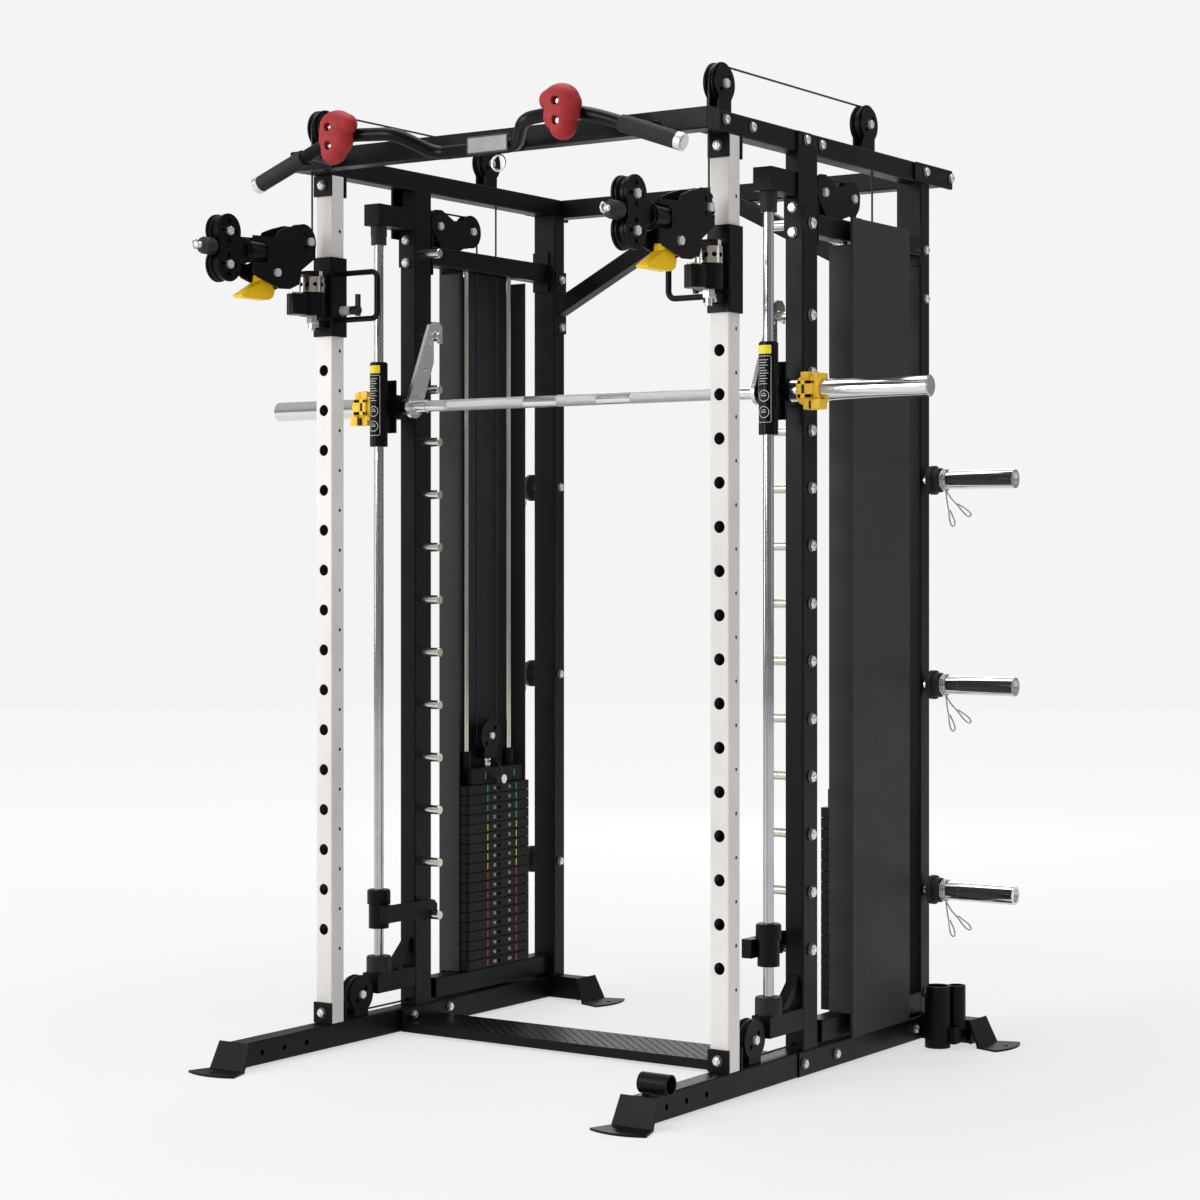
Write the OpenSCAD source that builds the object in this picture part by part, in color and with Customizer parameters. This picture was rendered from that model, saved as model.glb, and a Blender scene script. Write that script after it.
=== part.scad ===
// Smith machine with two cable arms, two weight stacks and plate storage.
// Units are millimetres, +Z is up, the front of the machine faces -Y.

/* [Frame] */
// distance between the centre lines of the two front posts
post_gap = 1160; // [1000:10:1300]
// side of the square frame tube
tube = 50; // [40:1:60]
// wall of the frame tube
wall = 3; // [2:0.5:5]
// height of the top of the side rails
top_h = 2238; // [2000:1:2400]
// height of the base rails
base_h = 60; // [40:1:80]
// distance from the front posts to the guide uprights
mid_y = 350; // [300:5:450]
// distance from the front posts to the rear uprights
rear_y = 945; // [800:5:1100]
// pitch of the round holes in the front posts
hole_pitch = 100; // [50:5:150]
// number of round holes in a front post
hole_n = 15; // [8:1:18]
// diameter of the round holes in the front posts
hole_d = 28; // [20:1:32]

/* [Smith bar] */
// distance from the front posts to the guide rods
rod_y = 195; // [150:5:250]
// diameter of the guide rods
rod_d = 25; // [20:1:35]
// height of the bar at rest
bar_z = 1621; // [1000:1:1900]
// distance from the front posts to the bar
bar_y = 258; // [230:1:300]
// length of the bar from end to end
bar_len = 1938; // [1800:2:2200]
// diameter of the bar shaft
shaft_d = 29; // [25:1:32]
// diameter of the bar sleeves
sleeve_d = 50; // [48:0.5:51]
// pitch of the rack pegs
peg_pitch = 137; // [100:1:160]
// length of a rack peg
peg_len = 53; // [40:1:70]

/* [Cable arms] */
// height of the lower edge of the arm carriage
car_z = 1785; // [400:5:1800]
// height of the arm carriage
car_h = 198; // [150:1:250]
// distance from the swivel axis to the yoke pulleys
reach = 328; // [200:1:450]
// radius at which the cable runs on a large pulley
pul_r = 41; // [30:1:60]
// diameter of the cable
cable_d = 5; // [4:0.5:8]

/* [Weight stacks] */
// number of plates under the head plate
plate_n = 19; // [8:1:25]
// pitch of the plates
plate_p = 26; // [20:0.5:30]
// length of a plate, front to back
plate_l = 283; // [200:1:350]
// width of a plate
plate_w = 84; // [70:1:110]

/* [Storage] */
// length of a storage horn
horn_len = 206; // [150:1:300]
// diameter of a storage horn
horn_d = 48; // [40:1:50]

/* [View] */
// which sub-part is drawn

/* [Hidden] */
$fn = 48;
px = post_gap / 2;
h2 = tube / 2;
xo = px + h2;
xi = px - h2;
base_z = 5;
rail_z = base_z + base_h;
top_b = top_h - tube;
mid_d = 70;
rear_w = 70;
rx = xo - rear_w / 2;
y0 = 293;
sx = 578;
sy = 660;
stack_z = 129;
head_z = stack_z + plate_n * plate_p;
fl_z = head_z + 126;
sw_y = -70;
arm_z = car_z + 186;
peg_z0 = 300;
peg_top = 2025;
rest_peg = peg_z0 + 11 * peg_pitch;
fp_y = sw_y + pul_r + cable_d / 2;
rp_y = sy;
tp_z = top_h + 64;
bp_z = 2108;
lp_y = 105;
lp_z = rail_z + 56;
horn_z = [384, 907, 1429];

// ---- helpers -------------------------------------------------------------
module F() { translate([0, -y0, 0]) children(); }
module S(s) { mirror([s < 0 ? 1 : 0, 0, 0]) children(); }
module both() { S(1) children(); S(-1) children(); }
module box(a, b) { translate(a) cube([b[0] - a[0], b[1] - a[1], b[2] - a[2]]); }
// rounded rectangle
module rr(w, d, r) {
  square([w - 2 * r, d], center = true);
  square([w, d - 2 * r], center = true);
  for (i = [-1, 1], j = [-1, 1]) translate([i * (w / 2 - r), j * (d / 2 - r)]) circle(r);
}
// upright hollow tube
module tz(x, y, z, w, d, h, t = wall, r = 4) {
  translate([x, y, z]) linear_extrude(h) difference() { rr(w, d, r); rr(w - 2 * t, d - 2 * t, 1.5); }
}
// hollow tube along Y
module ty(x, y, z, w, h, l, t = wall, r = 4) {
  translate([x, y, z]) rotate([-90, 0, 0]) linear_extrude(l) difference() { rr(w, h, r); rr(w - 2 * t, h - 2 * t, 1.5); }
}
// hollow tube along X
module tx(x, y, z, d, h, l, t = wall, r = 4) {
  translate([x, y, z]) rotate([90, 0, 90]) linear_extrude(l) difference() { rr(d, h, r); rr(d - 2 * t, h - 2 * t, 1.5); }
}
module cx(x, y, z, r, l) { translate([x, y, z]) rotate([0, 90, 0]) cylinder(r = r, h = l); }
module cy(x, y, z, r, l) { translate([x, y, z]) rotate([-90, 0, 0]) cylinder(r = r, h = l); }
module cz(x, y, z, r, l) { translate([x, y, z]) cylinder(r = r, h = l); }
// round bar between two points
module rod(a, b, r) {
  v = b - a;
  l = norm(v);
  translate(a) rotate([0, acos(v[2] / l), atan2(v[1], v[0])]) cylinder(r = r, h = l);
}
// plate in the YZ plane, points are [y, z]
module yz(x, t, p) { translate([x, 0, 0]) rotate([90, 0, 90]) linear_extrude(t) polygon(p); }
// wedge-shaped window through a cheek plate, pointing at the bolt it sits round
module wedge(x, t, y, z, a) {
  translate([x, y, z]) rotate([90, 0, 90]) rotate([0, 0, a]) linear_extrude(t) polygon([[0, 12], [7.5, 27], [-7.5, 27]]);
}
// hexagon bolt head along X, then Y
module hx(x, y, z, af = 24, t = 10) { translate([x, y, z]) rotate([0, 90, 0]) cylinder(d = af / cos(30), h = t, $fn = 6); }
module hy(x, y, z, af = 24, t = 10) { translate([x, y, z]) rotate([90, 0, 0]) cylinder(d = af / cos(30), h = t, $fn = 6); }

// ---- frame ---------------------------------------------------------------
module base_rails() color("#232323") F() both() {
  difference() {
    ty(px, -347, base_z + base_h / 2, tube, base_h, 637);
    for (y = [-286, -204, -120]) cx(xi - 5, y, 34, 7, tube + 10);
  }
  difference() {
    ty(px, 290.5, base_z + base_h / 2, tube + 7, base_h, rear_y - h2 - 291);
    box([xi - 10, 280, rail_z - 0.5], [xo + 10, 290, rail_z + 5]);
  }
}
// bent foot: a leaning face and a flared sole with a rounded nose
module bent_foot(h) {
  difference() {
    linear_extrude(5) intersection() {
      translate([0, 78]) circle(150, $fn = 96);
      polygon([[-52, 8], [-74, -58], [-74, -90], [74, -90], [74, -58], [52, 8]]);
    }
    translate([0, -48, -1]) cylinder(r = 7, h = 8);
  }
  translate([0, 5.6, 2]) rotate([65, 0, 0]) linear_extrude(6) polygon([[-53, 0], [53, 0], [48, 69], [-48, 69]]);
  translate([-28, 33.8, 5]) cube([56, 6, h - 5.4]);
}
module front_feet() color("#1e1e1e") F() both() {
  translate([px, -387.2, 0]) bent_foot(rail_z);
}
module rear_feet() color("#1e1e1e") F() both() {
  tx(458, rear_y, base_z + 30, tube, 60, 284);
  for (m = [0, 1]) translate([600, 0, 0]) mirror([m, 0, 0]) translate([182.2, rear_y, 0])
    rotate([0, 0, 90]) bent_foot(rail_z);
}
module step_plate() color("#222222") F() {
  box([-xi + 9.8, 252, 24], [xi - 9.8, 430, 30]);
  for (y = [252, 426]) box([-xi + 9.8, y, 6], [xi - 9.8, y + 4, 24]);
  for (s = [-1, 1]) difference() {
    box([s * (xi - 6.8) - 3, 252, 6], [s * (xi - 6.8) + 3, 486, 62]);
    for (y = [295, 449]) cx(s * (xi - 6.8) - 5, y, 45, 5, 10);
  }
}
module front_posts() color("#efeeec") F() both() difference() {
  tz(px, 0, rail_z, tube, tube, top_b - rail_z);
  for (i = [0:hole_n - 1]) cy(px, -h2 - 1, 300 + i * hole_pitch, hole_d / 2, tube + 2);
  for (i = [0:hole_n + 3]) cx(xi - 1, 8, 250 + i * hole_pitch, 4.5, tube + 2);
}
module post_brackets() color("#1c1c1c") F() both() {
  for (z = [rail_z, top_b - 52]) {
    difference() {
      union() {
        box([xi - 3, -h2 - 6, z], [xo + 3, -h2 - 0.2, z + 52]);
        box([xi - 3, h2 + 0.2, z], [xo + 3, h2 + 6, z + 52]);
      }
      cy(px, -h2 - 8, z + 27, 6.5, tube + 20);
    }
  }
}
module guide_uprights() color("#262626") F() both() difference() {
  tz(px, mid_y, rail_z, tube, mid_d, top_b - rail_z);
  for (i = [0:11]) cx(xi - 1, mid_y, peg_z0 + i * peg_pitch, 8.2, tube + 2);
  cx(xi - 1, mid_y, peg_top, 8.2, tube + 2);
  cy(px, mid_y - mid_d / 2 - 1, lp_z - pul_r - cable_d / 2, 5, 10);
  box([px - 5, mid_y + mid_d / 2 - 5, lp_z - pul_r - 10], [px + 5, mid_y + mid_d / 2 + 1, lp_z - pul_r + 45]);
}
module rear_uprights() color("#232323") F() both() tz(rx, rear_y, rail_z, rear_w, tube, top_b - rail_z);
module top_rails() color("#282828") F() both() {
  difference() {
    ty(px, -70, top_h - h2, tube, tube, 1054);
    for (y = [sw_y, sy + 1 + pul_r + cable_d / 2]) cz(px, y, top_b - 5, 5, tube + 10);
  }
  // clamp plates that carry the rods' upper arms and the rear crossbar
  box([xo, 283, top_b - 125], [xo + 5, 345, top_h - 2]);
}
module front_crossbar() color("#262626") F() difference() {
  tx(-xo, -95.5, top_h - h2, tube, tube, 2 * xo);
  for (s = [-1, 1]) cz(s * px, sw_y, top_b - 5, 5, tube + 10);
}
module rear_crossbar() color("#232323") F() {
  tx(-xo, 1010, top_h - h2, tube, tube, 2 * xo);
  for (s = [-1, 1]) translate([s > 0 ? xo : -xo - 5, 985, top_h - h2]) rotate([90, 0, 90])
    linear_extrude(5) rr(210, 49, 6);
}
module rear_braces() color("#1f1f1f") F() both() {
  intersection() {
    box([3, rear_y - 22, 1600], [rx - rear_w / 2 - 6, rear_y + 22, top_b - 0.3]);
    translate([rx - rear_w / 2, rear_y, 1928]) rotate([0, -63, 0]) translate([0, 0, -60])
      rotate([0, 0, 90]) linear_extrude(760) difference() { rr(44, 44, 4); rr(38, 38, 1.5); }
  }
  difference() {
    box([rx - rear_w / 2 - 6, rear_y - 24, 1858], [rx - rear_w / 2 - 0.2, rear_y + 24, 2030]);
    for (z = [1876, 2008]) cx(rx - rear_w / 2 - 8, rear_y, z, 6.5, 12);
  }
}
module stack_beams() color("#242424") F() both() {
  difference() {
    union() {
      ty(px, mid_y + mid_d / 2 + 5.2, 2026, tube, tube, rear_y - h2 - mid_y - mid_d / 2 - 10.4);
      for (y = [mid_y + mid_d / 2 + 0.2, rear_y - h2 - 5.2]) box([xi - 2, y, 1975], [xo, y + 5, 2085]);
    }
    for (y = [393, sy + 1 - pul_r - cable_d / 2, sy + 1 + pul_r + cable_d / 2]) cz(px, y, 1990, 4.5, 70);
  }
  ty(px, 405, 98, tube, 54, rear_y - h2 - 405.2);
}
module rod_arms() color("#242424") F() both() {
  difference() {
    box([px - 24.8, 166, 2084], [px + 24.8, mid_y - mid_d / 2 - 0.2, 2139]);
    cz(px, rod_y, 2080, rod_d / 2 + 0.05, 70);
  }
  difference() {
    box([px - 25, 160, 116], [px + 25, mid_y - mid_d / 2 - 0.2, 166]);
    cz(px, rod_y, 110, rod_d / 2 + 0.05, 70);
  }
  yz(px - 13, 26, [[232, 166.2], [262, 166.2], [314.6, 210], [314.6, 243]]);
  box([px - 24.8, mid_y - mid_d / 2 - 6, 1990], [px + 24.8, mid_y - mid_d / 2 - 0.2, 2083]);
}
module guide_rods() color("#c9ccd0") F() both() cz(px, rod_y, 120, rod_d / 2, 2012);
module rod_bumpers() color("#151515") F() both() {
  difference() {
    union() { cz(px, rod_y, 166.2, 32, 38); cz(px, rod_y, 204.2, 30, 3); }
    cz(px, rod_y, 160, rod_d / 2 + 0.3, 60);
  }
  difference() {
    union() { cz(px, rod_y, 2036, 20, 22); cz(px, rod_y, 2058, 21, 25.8); }
    cz(px, rod_y, 2030, rod_d / 2 + 0.3, 60);
  }
  for (y = [sy - 97, sy + 97]) difference() {
    cz(sx, y, 125.3, 21, 3.5);
    cz(sx, y, 120, 9.3, 20);
  }
}
module peg(z) {
  cx(xi - peg_len, mid_y, z, 12, peg_len);
  translate([xi - peg_len, mid_y, z]) rotate([0, -90, 0]) cylinder(r1 = 12, r2 = 10.5, h = 2);
  cx(xi, mid_y, z, 8, tube);
}
module rack_pegs() color("#c8c4bd") F() both() {
  for (i = [0:11]) peg(peg_z0 + i * peg_pitch);
  peg(peg_top);
}
// bolt positions on the outer side: [y, z]
side_bolts = [[-41, 2218], [76, 2216], [318, 2218], [400, 2217]];
low_bolts = [[311, 36], [467, 36], [880, 36]];
module frame_bolts() color("#c3c8cc") F() both() {
  for (i = [0:11]) hx(xo + 3, mid_y, peg_z0 + i * peg_pitch);
  hx(xo + 3, mid_y, peg_top);
  for (p = side_bolts) hx(xo + (p[0] > 283 && p[0] < 345 ? 8 : 3), p[0], p[1], 19, 8);
  for (p = low_bolts) hx(xo + 6.5, p[0], p[1], 19, 8);
  for (p = [[936, 2217], [1076, 2217]]) hx(xo + 8, p[0], p[1], 19, 8);
  for (z = [1894, 2018, 120]) hx(xo + 3, rear_y, z, 19, 8);
  for (z = [rail_z + 27, top_b - 25]) hy(px, -h2 - 9, z, 19, 8);
  for (z = [2060, 2001]) hy(px, mid_y - mid_d / 2 - 9, z, 19, 8);
  for (y = [295, 449]) translate([xi - 12.8, y, 45]) rotate([0, -90, 0]) cylinder(d = 21, h = 8, $fn = 6);
  for (z = horn_z) translate([rx - rear_w / 2 - 3, rear_y, z]) rotate([0, -90, 0]) cylinder(d = 21, h = 8, $fn = 6);
  for (z = [1876, 2008]) translate([rx - rear_w / 2 - 9, rear_y, z]) rotate([0, -90, 0])
    cylinder(d = 21, h = 8, $fn = 6);
}
module frame_washers() color("#3b3b3b") F() both() {
  for (i = [0:11]) cx(xo + 0.2, mid_y, peg_z0 + i * peg_pitch, 15, 2.8);
  cx(xo + 0.2, mid_y, peg_top, 15, 2.8);
  for (p = side_bolts) cx(xo + (p[0] > 283 && p[0] < 345 ? 5.2 : 0.2), p[0], p[1], 13, 2.8);
  for (p = low_bolts) cx(xo + 3.7, p[0], p[1], 13, 2.8);
  for (p = [[936, 2217], [1076, 2217]]) cx(xo + 5.2, p[0], p[1], 13, 2.8);
  for (z = [1894, 2018, 120]) cx(xo + 0.2, rear_y, z, 13, 2.8);
  for (z = [rail_z + 27, top_b - 25]) cy(px, -h2 - 8.9, z, 13, 2.8);
  for (z = [2060, 2001]) cy(px, mid_y - mid_d / 2 - 8.9, z, 13, 2.8);
  for (y = [295, 449]) cx(xi - 12.6, y, 45, 13, 2.6);
  for (z = horn_z) cx(rx - rear_w / 2 - 3, rear_y, z, 13, 2.8);
  for (z = [1876, 2008]) cx(rx - rear_w / 2 - 9, rear_y, z, 13, 2.8);
}
module bar_holders() color("#1a1a1a") F() {
  difference() { cz(692, 842, 4, 32, 154); cz(692, 842, 10, 28, 160); }
  difference() { cz(722, 888, 46, 22.5, 110); cz(722, 888, 52, 19, 110); }
  difference() {
    box([664, 842, 14], [740, 919.8, 56]);
    cz(692, 842, 0, 32.2, 200);
    cz(722, 888, 0, 22.7, 200);
  }
  // short cross tube on the right base rail
  difference() {
    union() { cx(570, -330, rail_z + 27.4, 23, 74); box([580, -346, rail_z + 0.2], [604, -314, rail_z + 16]); }
    cx(565, -330, rail_z + 27.4, 19, 90);
  }
}

// ---- pull-up station -----------------------------------------------------
pu = [[0, -166, 2186], [118, -166, 2186], [186, -236, 2230], [318, -252, 2236], [402, -246, 2216], [616, -235, 2140]];
function mix(a, b, t) = a + (b - a) * t;
module pull_up_bar() color("#171717") F() {
  rod(pu[1], [-pu[1][0], pu[1][1], pu[1][2]], 16);
  both() {
    for (i = [1:4]) {
      rod(pu[i], i == 4 ? mix(pu[4], pu[5], 0.93) : pu[i + 1], 16);
      translate(pu[i]) sphere(16.4);
    }
    rod([96, -166, 2186], [96, -124.5, 2195], 12);
    rod([440, -245, 2202], [470, -124, 2202], 12);
  }
}
module pull_up_grips() color("#222222") F() both() {
  a = mix(pu[4], pu[5], 0.27);
  b = mix(pu[4], pu[5], 0.93);
  difference() { rod(a, b, 20); rod(mix(a, b, -0.05), mix(a, b, 1.05), 16.05); }
}
module pull_up_caps() color("#d3d3d0") F() both() {
  rod(mix(pu[4], pu[5], 0.932), mix(pu[4], pu[5], 1), 20.5);
  rod(mix(pu[4], pu[5], 1), mix(pu[4], pu[5], 1.012), 14);
}
// one sculpted hold: a stack of rounds fused into a pear
module hold() {
  difference() {
    union() {
      hull() {
        translate([0, 0, 26]) scale([1.05, 0.8, 0.9]) sphere(46, $fn = 30);
        translate([10, -2, -34]) scale([1, 0.8, 1]) sphere(31, $fn = 30);
        translate([-28, 0, 30]) scale([1, 0.9, 1]) sphere(26, $fn = 24);
      }
    }
    for (z = [22, -20]) translate([8, -8, z]) rotate([90, 0, 0]) cylinder(r = 10, h = 60);
  }
}
module climbing_holds() color("#9c1c1f") F() both() difference() {
  translate([322, -283, 2227]) hold();
  for (i = [1:3]) {
    rod(pu[i], pu[i + 1], 16.5);
    translate(pu[i + 1]) sphere(17);
  }
}
module name_plate() color("#a9abac") F() {
  translate([48, -186, 2192]) rotate([90, 0, 0]) linear_extrude(3) rr(118, 42, 5);
  box([-4, -185.8, 2180], [100, -182.2, 2200]);
  // ring that hangs under the plate
  translate([69, -172, 2148.4]) rotate([90, 0, 0]) rotate_extrude() translate([18, 0]) circle(3.2);
}

// ---- weight stacks -------------------------------------------------------
module shrouds() color("#424242") F() both() {
  box([622, 515, rail_z + 3], [625, 820, 2056]);
  box([563, 515, 126], [622, 518, 1990]);
  box([563, 817, 126], [622, 820, 1990]);
  box([625, 515, rail_z + 3], [629, 562, 2056]);
}
module stack_rods() color("#c4c1bb") F() both() for (y = [sy - 97, sy + 97]) cz(sx, y, 125.2, 9, 1875.6);
module weight_plates() color("#2b2b2b") F() both() for (i = [0:plate_n - 1]) difference() {
  translate([sx, sy, stack_z + i * plate_p]) linear_extrude(plate_p - 1.6) rr(plate_w, plate_l, 6);
  for (y = [sy - 97, sy + 97]) cz(sx, y, stack_z - 5 + i * plate_p, 10, plate_p + 10);
  cz(sx, sy, stack_z - 5 + i * plate_p, 14, plate_p + 10);
  cx(sx - plate_w, sy, stack_z + i * plate_p + 12, 5.5, plate_w);
}
module head_plate(s) color("#2d2d2d") F() S(s) {
  difference() {
    translate([sx + 2, sy, head_z]) linear_extrude(42) rr(plate_w - 10, 238, 6);
    for (y = [sy - 97, sy + 97]) cz(sx, y, head_z - 5, 9.4, 90);
    cx(sx - plate_w, sy - 12, head_z + 12, 5.6, 81);
  }
  for (y = [sy - 97, sy + 97]) difference() { cz(sx, y, head_z + 42, 15, 46); cz(sx, y, head_z + 40, 9.4, 90); }
  // threaded stem with its nuts, then the floating pulley in its fork
  cz(px, sy, head_z + 42, 9, 24);
  cz(px, sy, head_z + 44, 12, 10);
  cz(px, sy, head_z + 58, 13, 8);
  box([px - 15, sy - 16, head_z + 64], [px + 15, sy + 16, head_z + 72]);
  for (x = [px - 17, px + 12]) difference() {
    union() { cx(x, sy, fl_z, 44, 5); box([x, sy - 30, head_z + 66], [x + 5, sy + 30, fl_z]); }
    for (q = [-1, 1]) cx(x - 1, sy + q * 20, fl_z + q * 20, 6, 8);
  }
  wheel(px, sy + 1, fl_z, 48.5);
  hx(px + 17, sy + 1, fl_z, 17, 6);
  translate([px - 17, sy + 1, fl_z]) rotate([0, -90, 0]) cylinder(d = 19, h = 6, $fn = 6);
}
// grooved wheel on an X axle
module wheel(x, y, z, r) {
  translate([x, y, z]) rotate([0, 90, 0]) rotate_extrude() polygon([[0, -11.5], [r, -11.5], [r, -8],
    [r - 7.6, -3.4], [r - 7.6, 3.4], [r, 8], [r, 11.5], [0, 11.5]]);
}
module selector_pin(s) color("#1d1d1d") F() S(s) {
  cx(sx - plate_w / 2 - 22, sy - 12, head_z + 12, 5, 56);
  cx(sx - plate_w / 2 - 26, sy - 12, head_z + 12, 12, 20);
}
module fork(x, y, z, r, foot) {
  for (q = [x - 17, x + 12]) difference() {
    union() { cx(q, y, z, r, 5); box([q, y - 26, foot], [q + 5, y + 26, z]); }
    for (a = [40, 220]) cx(q - 1, y + 22 * cos(a), z + 22 * sin(a), 6, 8);
  }
  box([x - 17, y - 26, foot], [x + 17, y + 26, foot + 5]);
  wheel(x, y, z, 48.5);
  hx(x + 17, y, z, 19, 7);
  translate([x - 17, y, z]) rotate([0, -90, 0]) cylinder(d = 21, h = 7, $fn = 6);
}
module pulley_brackets() color("#191919") F() both() {
  fork(px, fp_y, tp_z, 42, top_h + 0.3);
  fork(px, rp_y - pul_r + 42, tp_z, 42, top_h + 0.3);
  fork(px, lp_y, lp_z, 46, rail_z + 0.3);
  // plate pair with two pulleys on the stack beam
  for (q = [px - 17, px + 12]) yz(q, 5, [[400, 2135], [412, 2150], [440, 2152], [500, 2126], [560, 2140],
    [596, 2140], [612, 2118], [606, 2086], [520, 2051.3], [440, 2051.3], [396, 2100]]);
  for (y = [432, 577]) { wheel(px, y, bp_z, 44); hx(px + 17, y, bp_z, 19, 7);
    translate([px - 17, y, bp_z]) rotate([0, -90, 0]) cylinder(d = 21, h = 7, $fn = 6); }
}
cr = cable_d / 2;
module arc_cable(x, y, z, r, a0, a1) {
  translate([x, y, z]) rotate([90, 0, 90]) rotate([0, 0, a0]) rotate_extrude(angle = a1 - a0) translate([r, 0]) circle(cr);
}
// the run over the two top pulleys and the run from the beam pulleys to the low pulley
module top_cables() color("#0d0d0d") F() both() {
  arc_cable(px, fp_y, tp_z, pul_r + cr, 90, 180);
  cy(px, fp_y, tp_z + pul_r + cr, cr, rp_y + 1 - fp_y);
  arc_cable(px, rp_y + 1, tp_z, pul_r + cr, 0, 90);
  cz(px, rp_y + 1 + pul_r + cr, 2120, cr, tp_z - 2120);
  arc_cable(px, 577, bp_z, 36.5 + cr, 0, 90);
  cy(px, 432, bp_z + 36.5 + cr, cr, 145);
  arc_cable(px, 432, bp_z, 36.5 + cr, 90, 180);
  cz(px, 393, lp_z - pul_r - cr + 16, cr, bp_z - lp_z + pul_r + cr - 16);
  arc_cable(px, 377, lp_z - pul_r - cr + 16, 16, -90, 0);
  cy(px, lp_y, lp_z - pul_r - cr, cr, 377 - lp_y);
  arc_cable(px, lp_y, lp_z, pul_r + cr, 90, 270);
}
module stack_cable(s) color("#0d0d0d") F() S(s) {
  for (y = [sy - pul_r - cr + 1, sy + pul_r + cr + 1]) cz(px, y, fl_z + 50, cr, 2104 - fl_z - 50);
  // loop under the floating pulley
  arc_cable(px, sy + 1, fl_z, pul_r + cr, 180, 360);
}

// ---- storage -------------------------------------------------------------
module storage_horns() color("#d8d8d8") F() both() for (z = horn_z) {
  // the seat of the clip is turned down a little, the plates sit on the rest
  cx(xo + 46, rear_y, z, horn_d / 2 - 0.5, 56.01);
  difference() {
    cx(xo + 102, rear_y, z, horn_d / 2, horn_len - 56);
    cx(xo + 46 + horn_len - 6, rear_y, z, 17, 10);
  }
  cx(xo + 3.2, rear_y - 0.01, z, 17, 43);
}
module horn_collars() color("#151515") F() both() for (z = horn_z) difference() {
  union() { cx(xo + 18, rear_y, z, 37, 12); cx(xo + 30, rear_y, z, 31, 15.8); }
  cx(xo, rear_y, z, 17.2, 80);
}
module spring_clips() color("#b9bcc0") F() both() for (z = horn_z) {
  difference() {
    cx(xo + 50, rear_y, z, horn_d / 2 + 5, 15);
    cx(xo + 40, rear_y, z, horn_d / 2 + 0.6, 40);
  }
  for (q = [-1, 1]) {
    rod([xo + 57, rear_y - 4 * q, z - 26], [xo + 66 + 12 * q, rear_y - 24 - 14 * q, z - 92], 2);
    rod([xo + 66 + 12 * q, rear_y - 24 - 14 * q, z - 91], [xo + 74 + 16 * q, rear_y - 26 - 14 * q, z - 118], 2.4);
  }
}

// ---- smith bar -----------------------------------------------------------
module safety_stop(s) color("#181818") F() S(s) {
  difference() {
    union() {
      cz(px, rod_y, 279, 26, 62);
      cz(px, rod_y, 341, 30, 34);
      cz(px, rod_y, 375, 27, 3);
      box([526, 163, 297], [552, 196, 341]);
    }
    cz(px, rod_y, 270, rod_d / 2 + 0.4, 120);
    box([540, 196, 280], [552, 240, 300]);
  }
  yz(526, 10, [[163, 297], [328, 297], [328, 288], [337.4, 288], [337.4, 312.6], [362.6, 312.6], [362.6, 288],
    [372, 288], [372, 326], [360, 338], [345, 341], [163, 341]]);
}
module bar_shaft() color("#cfd0d1") F() {
  cx(-620, bar_y, bar_z, shaft_d / 2, 1240);
  for (s = [-1, 1]) S(s) cx(470, bar_y, bar_z, 17, 40);
}
module bar_bearings() color("#161616") F() both() {
  difference() {
    union() {
      cz(px, rod_y, 1517, 23, 214);
      cz(px, rod_y, 1731, 21, 3);
      box([px - 18, rod_y + 16, 1560], [px + 18, bar_y - 30, 1682]);
    }
    cz(px, rod_y, 1500, rod_d / 2 + 0.4, 260);
  }
  difference() {
    union() {
      box([px - 26, bar_y - 30, 1553], [px + 26, bar_y - 22, 1689]);
      box([px - 22, bar_y - 22, 1590], [px + 22, bar_y + 27, 1652]);
      cx(px - 30, bar_y, bar_z, 27, 60);
      cx(px - 58.5, bar_y, bar_z, 21, 30);
    }
    cx(px - 80, bar_y, bar_z, shaft_d / 2 + 0.05, 160);
  }
}
// hook plate: ring round the bar, tapering up and over its peg
module bar_hooks() color("#d5d6d6") F() both() {
  difference() {
    union() {
      cx(511, bar_y, bar_z, 30, 10);
      yz(511, 10, [[231, 1632], [283, 1601], [300, 1650], [337.4, 1740], [337.4, 1821], [363, 1821], [363, 1792],
        [374, 1792], [374, 1834], [362, 1846], [338, 1846], [322, 1838]]);
    }
    cx(500, bar_y, bar_z, shaft_d / 2 + 0.05, 40);
    cx(500, 322, 1790, 5, 40);
    cx(500, 300, 1720, 7, 40);
    box([500, 337.4, 1740], [530, 362.8, 1820.4]);
  }
}
module bar_sleeve(s) color("#cbcccd") F() S(s) difference() {
  union() {
    cx(622, bar_y, bar_z, sleeve_d / 2, bar_len / 2 - 622 - 2);
    cx(bar_len / 2 - 2, bar_y, bar_z, sleeve_d / 2 - 3, 2);
    cx(612.5, bar_y, bar_z, 28, 22);
  }
  cx(600, bar_y, bar_z, shaft_d / 2 + 0.4, 22);
  for (a = [0:60:300]) cx(bar_len / 2 - 3, bar_y + 15 * cos(a), bar_z + 15 * sin(a), 2.6, 6);
}
module collar_clamp(s) color("#f0b01e") F() S(s) difference() {
  union() {
    cx(640, bar_y, bar_z, 37, 46);
    cx(634.7, bar_y, bar_z, 33, 6);
    cx(686, bar_y, bar_z, 33, 8);
    box([643, bar_y - 40, bar_z - 20], [683, bar_y - 20, bar_z + 22]);
    box([646, bar_y - 30, bar_z + 22], [690, bar_y + 24, bar_z + 43]);
    box([650, bar_y - 24, bar_z - 46], [668, bar_y + 14, bar_z - 24]);
    box([676, bar_y - 34, bar_z - 46], [700, bar_y + 4, bar_z - 22]);
  }
  cx(620, bar_y, bar_z, sleeve_d / 2 + 0.05, 120);
  box([652, bar_y - 41, bar_z - 8], [662, bar_y - 32, bar_z + 12]);
}

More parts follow.
